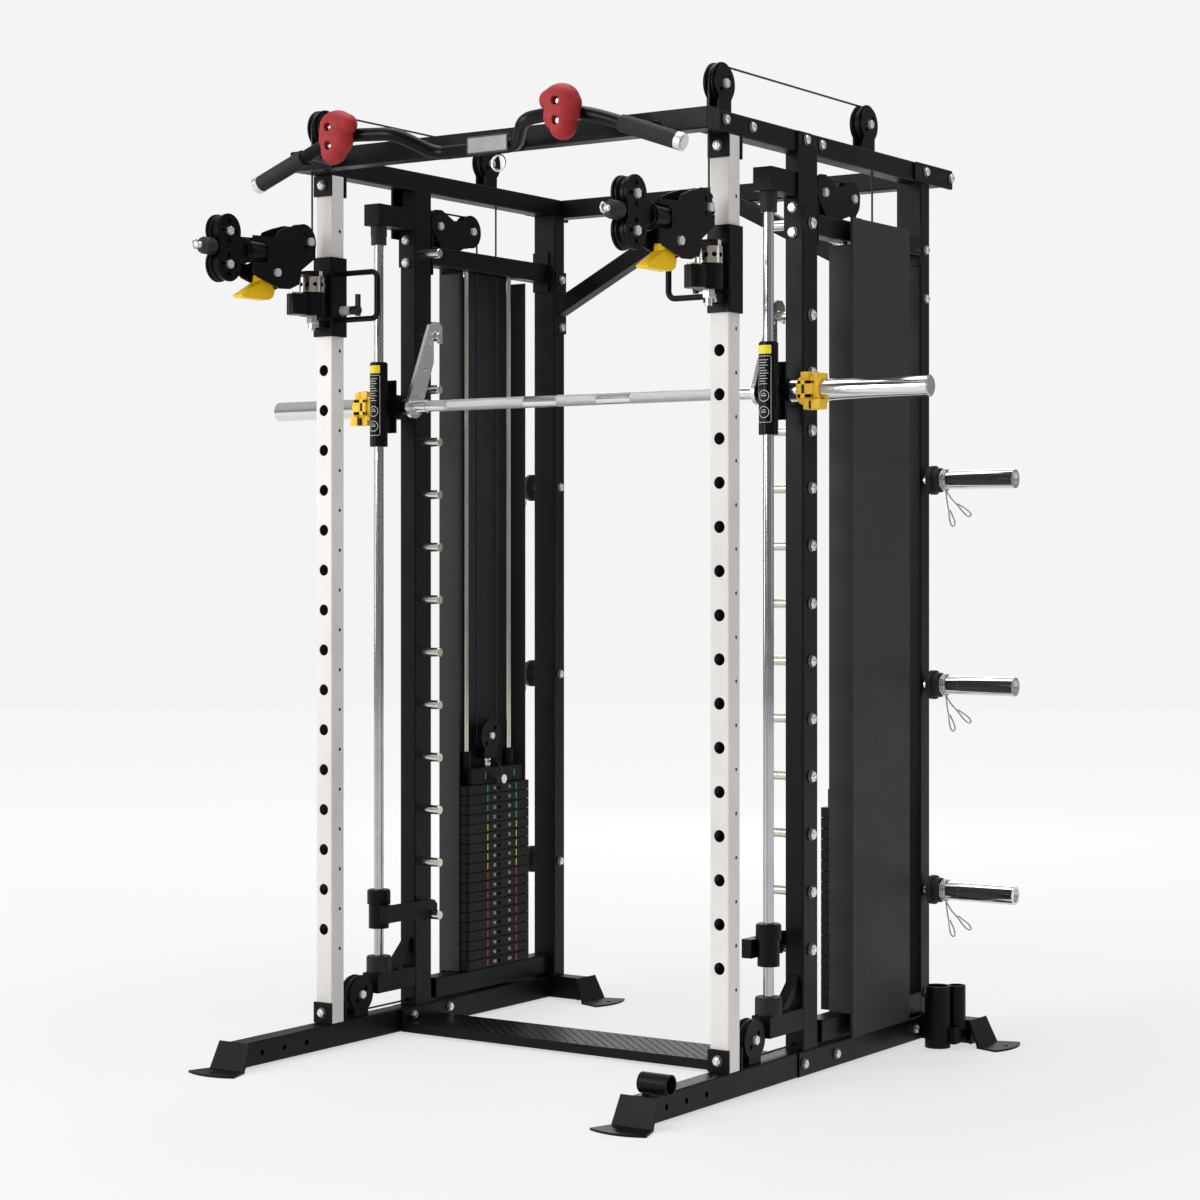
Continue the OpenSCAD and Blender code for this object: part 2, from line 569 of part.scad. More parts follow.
// ---- cable arms ----------------------------------------------------------
module carriage(s) color("#1b1b1b") F() S(s) {
  difference() {
    tz(px, 0, car_z, tube + 12, tube + 12, car_h, 5.5, 5);
    cx(xi - 10, 8, car_z + 65, 6.2, 12);
  }
  // U handle on the inner side
  for (z = [car_z + 41, car_z + 157]) cx(446, 0, z, 7, xi - 446 - 5.8);
  for (q = [[car_z + 59, 180], [car_z + 139, 90]]) translate([446, 0, q[0]]) rotate([90, 0, 0]) rotate([0, 0, q[1]])
    rotate_extrude(angle = 90) translate([18, 0]) circle(7);
  cz(428, 0, car_z + 59, 7, 80);
  difference() {
    cx(xi - 30, 8, car_z + 65, 12, 24);
    cx(xi - 31, 8, car_z + 65, 5.4, 26);
  }
  // swivel drum: cup, perforated ring and nut
  box([px - 20, -62, car_z + 20], [px + 20, -30.8, car_z + 38]);
  box([px - 20, -62, car_z + 52], [px + 20, -30.8, car_z + 104]);
  cz(px, sw_y, car_z + 48, 31, 58);
  difference() {
    cz(px, sw_y, car_z + 106, 32, 38);
    for (a = [0:36:324]) translate([px, sw_y, car_z + 125]) rotate([0, 90, a]) translate([0, 0, 27])
      cylinder(r = 6, h = 10);
  }
  cz(px, sw_y, car_z + 12, 9, 36);
  translate([px, sw_y, car_z + 30]) cylinder(d = 30, h = 17, $fn = 6);
  cz(px, sw_y - 60, car_z + 47, 24, 51);
  cz(px, sw_y - 60, car_z + 98, 17, 4);
  box([px - 16, sw_y - 60, car_z + 47], [px + 16, sw_y, car_z + 98]);
}
module pull_pin(s) color("#202020") F() S(s) {
  cx(xi - 46, 8, car_z + 65, 5, 43.4);
  cx(xi - 62, 8, car_z + 65, 11, 24);
  cz(xi - 58, 8, car_z + 50.5, 7, 54);
}
module arm(s) color("#2b2b2b") F() S(s) {
  for (x = [px - 28, px + 23]) difference() {
    yz(x, 5, [[-320, 2008], [-237, 2012], [-228, 2027], [-195, 2039], [-150, 2051], [-120, 2052], [-99, 2040], [-90, 2016],
      [-90, 1973], [-143, 1939], [-152, 1903], [-186, 1889], [-223, 1887], [-302, 1908], [-320, 1918], [-320, 1944],
      [-285, 1944], [-268, 1950], [-268, 1988], [-285, 1997], [-320, 1997]]);
    for (a = [45, 135, 225, 315]) wedge(x - 1, 8, sw_y - pul_r - 2, arm_z + pul_r, a);
  }
  wheel(px, sw_y - pul_r - cr, arm_z + pul_r, 45);
  for (x = [px - 28, px + 28]) cx(x > px ? x : x - 7, sw_y - pul_r, arm_z + pul_r, 10, 7);
  cx(px - 35, -236, 1925, 10, 70);
  // swivel hub that turns on the drum
  cz(px, sw_y, car_z + 144.3, 29, 14);
  box([px - 23, -200, car_z + 145], [px + 23, -71, car_z + 153]);
  // round housing that carries the yoke's roll bearing
  difference() {
    union() { cy(px, -316, arm_z, 26, 90); box([px - 23, -250, arm_z - 26], [px + 23, -226, arm_z + 26]); }
    cy(px, -330, arm_z, 9, 120);
  }
  difference() { cy(px, -322, arm_z, 22.8, 6); cy(px, -330, arm_z, 9, 20); }
  // trigger
  yz(px - 15, 30, [[-348, 1863], [-344, 1858], [-250, 1858], [-234, 1866], [-228, 1884], [-238, 1892], [-216, 1895],
    [-214, 1900], [-236, 1906], [-236, 1918], [-262, 1920], [-274, 1917], [-276, 1902], [-300, 1889]]);
}
module arm_yoke(s) color("#202020") F() S(s) {
  yo = sw_y - reach;
  difference() {
    union() { cy(px, -338, arm_z, 29, 15.7); cy(px, -330, arm_z, 32, 4); }
    cy(px, -345, arm_z, 8, 30);
  }
  for (x = [px - 20, px + 15]) difference() {
    union() {
      cx(x, yo, arm_z + 40, 41, 5);
      cx(x, yo, arm_z - 40, 41, 5);
      box([x, yo - 33, arm_z - 40], [x + 5, yo + 40, arm_z + 40]);
    }
    for (z = [40, -40], a = [0, 90, 180, 270]) wedge(x - 1, 8, yo, arm_z + z, a);
  }
  difference() {
    box([px - 20, yo + 40, arm_z - 26], [px + 20, -338, arm_z + 26]);
    cy(px, -420, arm_z, 8, 100);
  }
  difference() { box([px - 20, yo + 34, arm_z - 40], [px + 20, yo + 40.2, arm_z + 40]); cy(px, -420, arm_z, 8, 100);
    box([px - 12, yo + 30, arm_z - 80], [px + 12, yo + 39.4, arm_z - 2]); box([px - 12, yo + 30, arm_z + 2], [px + 12, yo + 39.4, arm_z + 80]); }
  wheel(px, yo, arm_z + 40, 39);
  wheel(px, yo, arm_z - 40, 39);
  for (z = [40, -40]) { hx(px + 20, yo, arm_z + z, 19, 7);
    translate([px - 20, yo, arm_z + z]) rotate([0, -90, 0]) cylinder(d = 21, h = 7, $fn = 6); }
}
module arm_cable(s) color("#0d0d0d") F() S(s) cz(px, sw_y, arm_z + pul_r, cr, tp_z - arm_z - pul_r);
module cable_end(s) color("#141414") F() S(s) {
  yo = sw_y - reach;
  cy(px, yo - 74, arm_z, 21, 38);
  cy(px, yo - 88, arm_z, 7, 14);
  translate([px, yo - 98, arm_z]) rotate([0, 90, 0]) rotate_extrude() translate([10, 0]) circle(3);
}

base_rails();
front_feet();
rear_feet();
step_plate();
front_posts();
post_brackets();
guide_uprights();
rear_uprights();
top_rails();
front_crossbar();
rear_crossbar();
rear_braces();
stack_beams();
rod_arms();
guide_rods();
rod_bumpers();
rack_pegs();
frame_bolts();
frame_washers();
bar_holders();
pull_up_bar();
pull_up_grips();
pull_up_caps();
climbing_holds();
name_plate();
shrouds();
stack_rods();
weight_plates();
pulley_brackets();
top_cables();
storage_horns();
horn_collars();
spring_clips();
safety_stop(-1);  // safety_stop_left
safety_stop(1);  // safety_stop_right
bar_shaft();
bar_bearings();
bar_hooks();
bar_sleeve(-1);  // bar_sleeve_left
bar_sleeve(1);  // bar_sleeve_right
collar_clamp(-1);  // collar_clamp_left
collar_clamp(1);  // collar_clamp_right
head_plate(-1);  // head_plate_left
head_plate(1);  // head_plate_right
selector_pin(-1);  // selector_pin_left
selector_pin(1);  // selector_pin_right
stack_cable(-1);  // stack_cable_left
stack_cable(1);  // stack_cable_right
arm_cable(-1);  // arm_cable_left
arm_cable(1);  // arm_cable_right
carriage(-1);  // carriage_left
carriage(1);  // carriage_right
pull_pin(-1);  // pull_pin_left
pull_pin(1);  // pull_pin_right
arm(-1);  // arm_left
arm(1);  // arm_right
arm_yoke(-1);  // arm_yoke_left
arm_yoke(1);  // arm_yoke_right
cable_end(-1);  // cable_end_left
cable_end(1);  // cable_end_right
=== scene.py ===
import math
import bpy
import bmesh
from mathutils import Matrix, Vector


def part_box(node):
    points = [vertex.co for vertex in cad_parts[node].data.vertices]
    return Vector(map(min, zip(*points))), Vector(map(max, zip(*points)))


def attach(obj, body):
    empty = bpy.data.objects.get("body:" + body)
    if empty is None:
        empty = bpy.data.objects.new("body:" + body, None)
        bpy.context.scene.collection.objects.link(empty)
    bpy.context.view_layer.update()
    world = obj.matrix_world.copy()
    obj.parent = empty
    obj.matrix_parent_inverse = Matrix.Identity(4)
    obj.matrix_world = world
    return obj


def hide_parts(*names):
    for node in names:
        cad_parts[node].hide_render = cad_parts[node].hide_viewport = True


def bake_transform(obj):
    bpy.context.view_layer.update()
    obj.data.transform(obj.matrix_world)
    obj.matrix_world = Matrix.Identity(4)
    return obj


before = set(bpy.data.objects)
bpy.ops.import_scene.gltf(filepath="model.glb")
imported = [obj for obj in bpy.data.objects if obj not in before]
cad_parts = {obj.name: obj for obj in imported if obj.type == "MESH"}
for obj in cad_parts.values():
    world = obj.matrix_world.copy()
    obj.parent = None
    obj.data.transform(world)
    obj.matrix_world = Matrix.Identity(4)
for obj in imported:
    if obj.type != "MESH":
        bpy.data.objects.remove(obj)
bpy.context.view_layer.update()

scene = bpy.context.scene
SIDES = (("left", -1), ("right", 1))


def box(node):
    """The low and the high corner of a CAD node."""
    return [Vector(c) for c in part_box(node)]


def mid(node):
    lo, hi = box(node)
    return (lo + hi) / 2


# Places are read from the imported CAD: the swivel axis, the rods, the stacks and so on.
PX = box("front_posts")[1].x - 0.025
POST_Y = mid("front_posts").y
ROD_Y = mid("guide_rods").y
BAR = mid("bar_shaft")
CAR_Z = box("carriage_right")[0].z
SWIVEL_Y = POST_Y - 0.070
ARM_Z = CAR_Z + 0.186
YOKE_Y = SWIVEL_Y - 0.328
STACK = mid("weight_plates")
HEAD_Z = box("head_plate_right")[0].z
PLATE_Z = box("weight_plates")[0].z
PLATE_PITCH = 0.026
CABLE_R = 0.0025
WHEEL_R = 0.0435  # of the cable's centre line round a large pulley
HORN_R = 0.0240


# ---- shader writing --------------------------------------------------------
class Mat:
    """A material and the few node makers that its pattern needs."""

    def __init__(self, name):
        self.m = bpy.data.materials.new(name)
        self.m.use_nodes = True
        self.t = self.m.node_tree
        self.b = self.t.nodes["Principled BSDF"]
        self.pos = self.t.nodes.new("ShaderNodeTexCoord").outputs["Object"]
        s = self.t.nodes.new("ShaderNodeSeparateXYZ")
        self.put(s.inputs[0], self.pos)
        self.x, self.y, self.z = s.outputs
        self.ax = self.f("ABSOLUTE", self.x)

    def put(self, socket, v):
        if isinstance(v, bpy.types.NodeSocket):
            self.t.links.new(v, socket)
        elif isinstance(v, tuple) and len(v) == 3 and len(socket.default_value) == 4:
            socket.default_value = (*v, 1)
        else:
            socket.default_value = v

    def f(self, op, a, b=None, c=None):
        n = self.t.nodes.new("ShaderNodeMath")
        n.operation = op
        for i, v in enumerate((a, b, c)):
            if v is not None:
                self.put(n.inputs[i], v)
        return n.outputs[0]

    def noise(self, scale, detail=3.0, rough=0.55, stretch=None):
        n = self.t.nodes.new("ShaderNodeTexNoise")
        v = self.pos
        if stretch:
            q = self.t.nodes.new("ShaderNodeMapping")
            self.put(q.inputs["Vector"], self.pos)
            q.inputs["Scale"].default_value = stretch
            v = q.outputs[0]
        self.put(n.inputs["Vector"], v)
        n.inputs["Scale"].default_value = scale
        n.inputs["Detail"].default_value = detail
        n.inputs["Roughness"].default_value = rough
        return n.outputs[0]

    def range(self, v, a, b, c, d):
        n = self.t.nodes.new("ShaderNodeMapRange")
        self.put(n.inputs[0], v)
        for i, q in enumerate((a, b, c, d)):
            self.put(n.inputs[i + 1], q)
        return n.outputs[0]

    def mix(self, fac, a, b):
        n = self.t.nodes.new("ShaderNodeMix")
        n.data_type = "RGBA"
        self.put(n.inputs[0], fac)
        self.put(n.inputs[6], a)
        self.put(n.inputs[7], b)
        return n.outputs[2]

    def mixf(self, fac, a, b):
        n = self.t.nodes.new("ShaderNodeMix")
        self.put(n.inputs[0], fac)
        self.put(n.inputs[2], a)
        self.put(n.inputs[3], b)
        return n.outputs[0]

    def inside(self, *bands):
        """1 where every (value, low, high) holds."""
        out = None
        for v, lo, hi in bands:
            q = self.f("MULTIPLY", self.f("GREATER_THAN", v, lo), self.f("LESS_THAN", v, hi))
            out = q if out is None else self.f("MULTIPLY", out, q)
        return out

    def dist(self, u, v, cu, cv):
        a, b = self.f("SUBTRACT", u, cu), self.f("SUBTRACT", v, cv)
        return self.f("SQRT", self.f("ADD", self.f("MULTIPLY", a, a), self.f("MULTIPLY", b, b)))

    def edge(self, radius=0.0014):
        """The rounded normal of the edges, and how near an edge the surface is, which masks the painted edge
        highlight.
        """
        n = self.t.nodes.new("ShaderNodeBevel")
        n.samples = 4
        n.inputs["Radius"].default_value = radius
        g = self.t.nodes.new("ShaderNodeNewGeometry")
        d = self.t.nodes.new("ShaderNodeVectorMath")
        d.operation = "DOT_PRODUCT"
        self.put(d.inputs[0], n.outputs[0])
        self.put(d.inputs[1], g.outputs["Normal"])
        return n.outputs[0], self.range(d.outputs["Value"], 0.995, 0.80, 0.0, 1.0)

    def bump(self, height, strength, distance=0.0005, normal=None):
        n = self.t.nodes.new("ShaderNodeBump")
        n.inputs["Strength"].default_value = strength
        n.inputs["Distance"].default_value = distance
        self.put(n.inputs["Height"], height)
        if normal is not None:
            self.put(n.inputs["Normal"], normal)
        return n.outputs[0]


def srgb(h):
    return tuple((int(h[i:i + 2], 16) / 255) ** 2.2 for i in (1, 3, 5))


def scale3(c, k):
    return tuple(min(1.0, v * k) for v in c)


def finish_mat(k, col, rough, metal, spots, normal, coat=0.0):
    """Each spot is (mask, colour, roughness, metallic), laid over the base in turn."""
    for mask, c, r, m in spots:
        col, rough, metal = k.mix(mask, col, c), k.mixf(mask, rough, r), k.mixf(mask, metal, m)
    k.put(k.b.inputs["Base Color"], col)
    k.put(k.b.inputs["Roughness"], rough)
    k.put(k.b.inputs["Metallic"], metal)
    if normal is not None:
        k.put(k.b.inputs["Normal"], normal)
    if coat:
        k.b.inputs["Coat Weight"].default_value = coat
        k.b.inputs["Coat Roughness"].default_value = 0.25
    return k.m


def paint(name, hexcol, rough=0.38, grain=1400.0, depth=0.25, painted_edge_light=0.35, spots=None, rim=0.0014,
          coat=0.0):
    """Powder coat: orange peel, cloudy sheen, and a painted highlight along the edges (painted shade along
    the edges of pale coats).
    """
    k = Mat(name)
    c = srgb(hexcol)
    n, e = k.edge(rim)
    cloud = k.noise(2.3, 4.0, 0.6)
    fine = k.noise(grain, 2.0, 0.5)
    peel = k.noise(260.0, 2.0, 0.5)
    col = k.mix(k.range(cloud, 0.3, 0.7, 0.0, 1.0), scale3(c, 0.88), scale3(c, 1.12))
    col = k.mix(k.f("MULTIPLY", k.range(fine, 0.55, 0.8, 0.0, 1.0), 0.22), col, scale3(c, 1.9))
    # painted highlight along the edges of dark coats and painted shade along the edges of pale coats, broken
    # up by noise
    edge_light_breakup = k.range(k.noise(38.0, 4.0, 0.65), 0.42, 0.62, 0.3, 1.0)
    edge_light_col = scale3(c, 4.5) if max(c) < 0.3 else scale3(c, 0.78)
    col = k.mix(k.f("MULTIPLY", k.f("MULTIPLY", e, edge_light_breakup), painted_edge_light), col, edge_light_col)
    r = k.range(k.noise(9.0, 4.0, 0.6), 0.3, 0.7, rough - 0.05, rough + 0.07)
    h = k.f("ADD", k.f("MULTIPLY", peel, 0.6), k.f("MULTIPLY", fine, 0.5))
    k.b.inputs["Specular IOR Level"].default_value = 0.15
    return finish_mat(k, col, r, 0.0, spots(k) if spots else [], k.bump(h, depth, 0.0004, n), coat)


def metal(name, hexcol, rough=0.12, streak=(1, 1, 0.02), painted_edge_light=0.15, spots=None, depth=0.05,
          rim=0.0008, tint=None):
    """Plated or drawn steel: faint draw lines along the part, smudges, and edges lightened as a painted
    highlight.
    """
    k = Mat(name)
    c = srgb(hexcol)
    n, e = k.edge(rim)
    lines = k.noise(900.0, 3.0, 0.6, streak)
    smudge = k.noise(14.0, 5.0, 0.62)
    col = k.mix(k.range(lines, 0.35, 0.65, 0.0, 1.0), scale3(c, 0.94), scale3(c, 1.04))
    hazy = k.f("MULTIPLY", k.range(smudge, 0.5, 0.75, 0.0, 1.0), 0.25)
    col = k.mix(hazy, col, tint or scale3(c, 0.78))
    # painted highlight: the edges are lighter
    col = k.mix(k.f("MULTIPLY", e, painted_edge_light), col, scale3(c, 1.25))
    r = k.range(smudge, 0.3, 0.75, rough * 0.8, rough * 1.7)
    return finish_mat(k, col, r, 1.0, spots(k) if spots else [], k.bump(lines, depth, 0.0002, n))


def soft(name, hexcol, rough=0.6, grain=700.0, depth=0.5, painted_edge_light=0.25, spots=None, rim=0.0012,
         spec=0.5):
    """Moulded plastic or rubber with a fine spark-eroded grain, and a painted highlight along the edges."""
    k = Mat(name)
    c = srgb(hexcol)
    n, e = k.edge(rim)
    g = k.noise(grain, 3.0, 0.6)
    cloud = k.noise(7.0, 4.0, 0.6)
    col = k.mix(k.range(cloud, 0.3, 0.7, 0.0, 1.0), scale3(c, 0.85), scale3(c, 1.1))
    # painted highlight: the edges are lighter
    col = k.mix(k.f("MULTIPLY", e, painted_edge_light), col, scale3(c, 1.7))
    col = k.mix(k.f("MULTIPLY", k.range(g, 0.3, 0.5, 1.0, 0.0), 0.3), col, scale3(c, 0.6))
    k.b.inputs["Specular IOR Level"].default_value = spec
    r = k.range(g, 0.3, 0.7, rough - 0.06, rough + 0.08)
    return finish_mat(k, col, r, 0.0, spots(k) if spots else [], k.bump(g, depth, 0.0003, n))


ZINC, CHROME, YELLOW = srgb("#e2e6e8"), srgb("#dadcdd"), srgb("#f2c21a")
# SHADE_BLACK is a near black laid in holes and gaps as painted shade
NICKEL, SHADE_BLACK = srgb("#cfc8bd"), srgb("#050505")


def off_axis(k):
    """How far the surface is from the mid plane of the pulleys on either side."""
    return k.f("ABSOLUTE", k.f("SUBTRACT", k.ax, PX))


def sp_post_inner_shade(k):
    """Painted shade: the inside of the post tubes is painted dark."""
    o = off_axis(k)
    yy = k.f("ABSOLUTE", k.f("SUBTRACT", k.y, POST_Y))
    return [(k.inside((o, -1, 0.0236), (yy, -1, 0.0236)), srgb("#1b1a19"), 0.6, 0.0)]


def sp_brackets(k):
    """The axle bolts of the fixed pulleys."""
    bolts = k.inside((off_axis(k), 0.0171, 0.0251))
    spin = k.f("SUBTRACT", 1.0, k.inside((k.z, 2.0, 2.02)))
    return [(k.f("MULTIPLY", bolts, spin), ZINC, 0.25, 0.55)]


def sp_head(k):
    """The axle bolt of the floating pulley, and the stem under it."""
    bolt = k.inside((off_axis(k), 0.0171, 0.03), (k.z, HEAD_Z + 0.09, 9))
    stem = k.inside((k.z, HEAD_Z + 0.0422, HEAD_Z + 0.0638),
                    (k.dist(k.ax, k.y, PX, STACK.y), -1, 0.0140))
    return [(bolt, ZINC, 0.25, 0.55), (stem, CHROME, 0.14, 1.0)]


def sp_carriage(k):
    """The index ring, with painted shade in its holes, the nut under the swivel, the cap and the plunger."""
    d = k.dist(k.ax, k.y, PX, SWIVEL_Y)
    ring_z = (k.z, CAR_Z + 0.1062, CAR_Z + 0.1438)
    ring = k.inside(ring_z, (d, 0.0312, 0.034))
    # painted shade inside the holes of the ring
    hole = k.inside(ring_z, (d, 0.02, 0.0312))
    nut = k.inside((k.z, CAR_Z + 0.010, CAR_Z + 0.0468), (d, -1, 0.0165))
    d2 = k.dist(k.ax, k.y, PX, SWIVEL_Y - 0.060)
    cap = k.inside((k.z, CAR_Z + 0.0981, CAR_Z + 0.103), (d2, -1, 0.0175), (d, 0.0315, 9))
    plunger = k.inside((k.ax, PX - 0.056, PX - 0.0318),
                       (k.dist(k.y, k.z, POST_Y + 0.008, CAR_Z + 0.065), -1, 0.0125))
    return [(ring, NICKEL, 0.18, 1.0), (hole, SHADE_BLACK, 0.6, 0.0), (nut, ZINC, 0.2, 1.0),
            (cap, NICKEL, 0.2, 1.0), (plunger, ZINC, 0.25, 0.55)]


def sp_arm(k):
    """The yellow trigger, and the bolts through the cheeks."""
    o = off_axis(k)
    trig = k.inside((o, -1, 0.0153), (k.z, CAR_Z + 0.06, CAR_Z + 0.1352),
                    (k.y, SWIVEL_Y - 0.29, SWIVEL_Y - 0.089),
                    (k.dist(k.y, k.z, SWIVEL_Y - 0.166, CAR_Z + 0.140), 0.0102, 9))
    bolts = k.inside((o, 0.0282, 0.04))
    return [(trig, YELLOW, 0.42, 0.0), (bolts, ZINC, 0.25, 0.55)]


def sp_yoke(k):
    """The axle bolts of the two yoke pulleys."""
    return [(k.inside((off_axis(k), 0.0202, 0.03), (k.y, -9, SWIVEL_Y - 0.29)), ZINC, 0.25, 0.55)]


def sp_pin(k):
    """The bare shank of the pull pin."""
    q = k.inside((k.ax, PX - 0.071, PX - 0.02),
                 (k.dist(k.y, k.z, POST_Y + 0.008, CAR_Z + 0.065), -1, 0.0055))
    return [(q, ZINC, 0.2, 1.0)]


def sp_sel(k):
    """The bare parts of the selector pin."""
    return [(k.inside((k.ax, PX - 0.047, 9)), CHROME, 0.2, 1.0),
            (k.inside((k.ax, 0, PX - 0.0475)), CHROME, 0.22, 1.0)]


def sp_name(k):
    """A dark border round the blank plate, and the ring under it."""
    lo, hi = box("name_plate")
    z0, z1 = hi.z - 0.042, hi.z
    face = k.inside((k.x, lo.x + 0.004, hi.x - 0.004), (k.z, z0 + 0.004, z1 - 0.004))
    ring = k.inside((k.z, -9, z0 - 0.0005))
    return [(k.f("SUBTRACT", 1.0, face), srgb("#1a1a1a"), 0.4, 0.0), (ring, CHROME, 0.12, 1.0)]


def sp_hooks(k):
    """A dull ring where the hook is welded to its hub."""
    weld = k.inside((k.dist(k.y, k.z, BAR.y, BAR.z), 0.0265, 0.0285))
    return [(weld, scale3(CHROME, 0.55), 0.3, 1.0)]


def sp_stack_gap_shade(k):
    """Painted shade: a dark band under each plate of the stack, where the gap between plates is."""
    zz = k.f("FRACT", k.f("DIVIDE", k.f("SUBTRACT", k.z, PLATE_Z), PLATE_PITCH))
    return [(k.f("MULTIPLY", k.inside((zz, 0.0, 0.06)), 0.8), SHADE_BLACK, 0.7, 0.0)]


def knurled(name, zones):
    """Polished bar with a diamond knurl between the given distances from the middle."""
    k = Mat(name)
    n, e = k.edge(0.0008)
    turn = k.f("ARCTAN2", k.f("SUBTRACT", k.z, BAR.z), k.f("SUBTRACT", k.y, BAR.y))
    ang = k.f("MULTIPLY", turn, 0.0145)
    w = 2 * math.pi / 0.0024
    a = k.f("SINE", k.f("MULTIPLY", k.f("ADD", k.x, ang), w))
    b = k.f("SINE", k.f("MULTIPLY", k.f("SUBTRACT", k.x, ang), w))
    zone = None
    for lo, hi in zones:
        q = k.inside((k.ax, lo, hi))
        zone = q if zone is None else k.f("MAXIMUM", zone, q)
    h = k.f("MULTIPLY", k.f("MAXIMUM", a, b), zone)
    sm = k.noise(16.0, 4.0, 0.6)
    plain = k.mix(k.range(sm, 0.3, 0.7, 0.0, 1.0), srgb("#d2d4d6"), srgb("#e2e3e4"))
    col = k.mix(zone, plain, srgb("#b9bbbd"))
    r = k.f("ADD", k.range(sm, 0.3, 0.7, 0.1, 0.2), k.f("MULTIPLY", zone, 0.2))
    rings = k.inside((k.f("ABSOLUTE", k.f("SUBTRACT", k.ax, 0.405)), -1, 0.0015))
    return finish_mat(k, col, r, 1.0, [(rings, srgb("#8d8f91"), 0.4, 1.0)], k.bump(h, 0.6, 0.0004, n))


M = {
    "frame": paint("frame_black", "#111213", 0.36),
    "frame2": paint("frame_black_panel", "#141516", 0.34, painted_edge_light=0.6),
    "beam": paint("beam_black", "#101112", 0.38),
    "foot": paint("foot_black", "#0f1011", 0.40, painted_edge_light=0.5),
    "post": paint("post_white", "#dcd8d3", 0.34, grain=900.0, depth=0.16, painted_edge_light=0.5, spots=sp_post_inner_shade,
                  coat=0.15),
    "bracket": paint("bracket_black", "#0e0f10", 0.40),
    "panel": paint("shroud_grey", "#363637", 0.50, grain=520.0, depth=0.55, painted_edge_light=0.4),
    "pulley": paint("pulley_black", "#0e0e0f", 0.42, spots=sp_brackets, rim=0.0010),
    "zinc": metal("zinc_plate", "#e6ebef", 0.20, (1, 1, 1), 0.3, tint=srgb("#9fb0c0")),
    "washer": metal("washer_dark", "#6d7073", 0.30, (1, 1, 1), 0.3),
    "rod": metal("rod_chrome", "#b4b6ba", 0.10, (1, 1, 0.01)),
    "stackrod": metal("stack_rod_chrome", "#d8d1c6", 0.12, (1, 1, 0.01)),
    "nickel": metal("peg_nickel", "#d5cec2", 0.18, (0.02, 1, 1)),
    "horn": metal("horn_chrome", "#dcdcdd", 0.09, (0.02, 1, 1)),
    "sleeve": metal("sleeve_chrome", "#dcdcdb", 0.09, (0.02, 1, 1)),
    "hook": metal("hook_plate", "#d9dadb", 0.22, (1, 0.05, 0.05), 0.4, sp_hooks),
    "shaft": knurled("bar_knurled", ((0.0, 0.06), (0.16, 0.40))),
    "rubber": soft("rubber_black", "#0f0f0f", 0.62, 900.0, 0.4),
    "grip": soft("grip_rubber", "#131314", 0.70, 1500.0, 0.9),
    "bar": paint("pullup_black", "#0e0f10", 0.28, depth=0.2, painted_edge_light=0.3),
    "cap": metal("cap_satin", "#dcdcd8", 0.28, (1, 1, 1), 0.2),
    "name": metal("plate_brushed", "#808284", 0.40, (0.02, 1, 1), 0.2, sp_name, depth=0.15),
    "stack": paint("plate_paint", "#161717", 0.46, grain=420.0, depth=0.8, painted_edge_light=0.7, spots=sp_stack_gap_shade),
    "head": paint("head_paint", "#141515", 0.45, grain=420.0, depth=0.7, painted_edge_light=0.6, spots=sp_head),
    "cable": soft("cable_coat", "#101010", 0.38, 1600.0, 0.2),
    "holder": paint("holder_black", "#0f1011", 0.40, painted_edge_light=0.5),
    "bearing": paint("bearing_black", "#0d0d0e", 0.28, depth=0.15),
    "stop": paint("stop_black", "#0e0f10", 0.38),
    "carriage": paint("carriage_black", "#0f1011", 0.36, spots=sp_carriage),
    "arm": paint("arm_black", "#101113", 0.36, spots=sp_arm, rim=0.0010),
    "yoke": paint("yoke_black", "#0f0f11", 0.36, spots=sp_yoke, rim=0.0010),
    "knob": soft("knob_plastic", "#161616", 0.45, 800.0, 0.3, spots=sp_pin),
    "selector": soft("selector_knob", "#202020", 0.4, 800.0, 0.2, spots=sp_sel),
    "yellow": soft("clamp_nylon", "#f6c42a", 0.42, 600.0, 0.35, 0.15, spec=0.5),
    "red": soft("hold_resin", "#9a1519", 0.60, 420.0, 1.0, 0.1),
    "wire": metal("spring_wire", "#c2c5c8", 0.2, (1, 1, 1), 0.1),
    "white": soft("label_white", "#e9e9e6", 0.5, 400.0, 0.1),
    "teal": soft("label_teal", "#3fb6a4", 0.5, 400.0, 0.1),
    "lime": soft("label_yellow", "#f2df2c", 0.5, 400.0, 0.1),
    "crim": soft("label_red", "#d8362f", 0.5, 400.0, 0.1),
    "dark": soft("label_black", "#0d0d0d", 0.45, 400.0, 0.1),
}

USE = {
    "base_rails": "frame", "front_feet": "foot", "rear_feet": "foot", "step_plate": "frame2",
    "front_posts": "post", "post_brackets": "bracket", "guide_uprights": "frame",
    "rear_uprights": "frame", "top_rails": "beam", "front_crossbar": "beam", "rear_crossbar": "beam",
    "rear_braces": "beam", "stack_beams": "beam", "rod_arms": "bracket", "guide_rods": "rod",
    "rod_bumpers": "rubber", "rack_pegs": "nickel", "frame_bolts": "zinc", "frame_washers": "washer",
    "bar_holders": "holder", "pull_up_bar": "bar", "pull_up_grips": "grip", "pull_up_caps": "cap",
    "climbing_holds": "red", "name_plate": "name", "shrouds": "panel", "stack_rods": "stackrod",
    "weight_plates": "stack", "pulley_brackets": "pulley", "top_cables": "cable", "storage_horns": "horn",
    "horn_collars": "rubber", "spring_clips": "wire", "bar_shaft": "shaft", "bar_bearings": "bearing",
    "bar_hooks": "hook",
}
for s, g in SIDES:
    for n, m in dict(safety_stop="stop", bar_sleeve="sleeve", collar_clamp="yellow", head_plate="head",
                     selector_pin="selector", stack_cable="cable", arm_cable="cable", carriage="carriage",
                     pull_pin="knob", arm="arm", arm_yoke="yoke", cable_end="rubber").items():
        USE[f"{n}_{s}"] = m
for name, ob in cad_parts.items():
    for sl in ob.material_slots:
        sl.link = "OBJECT"
        sl.material = M[USE[name]]


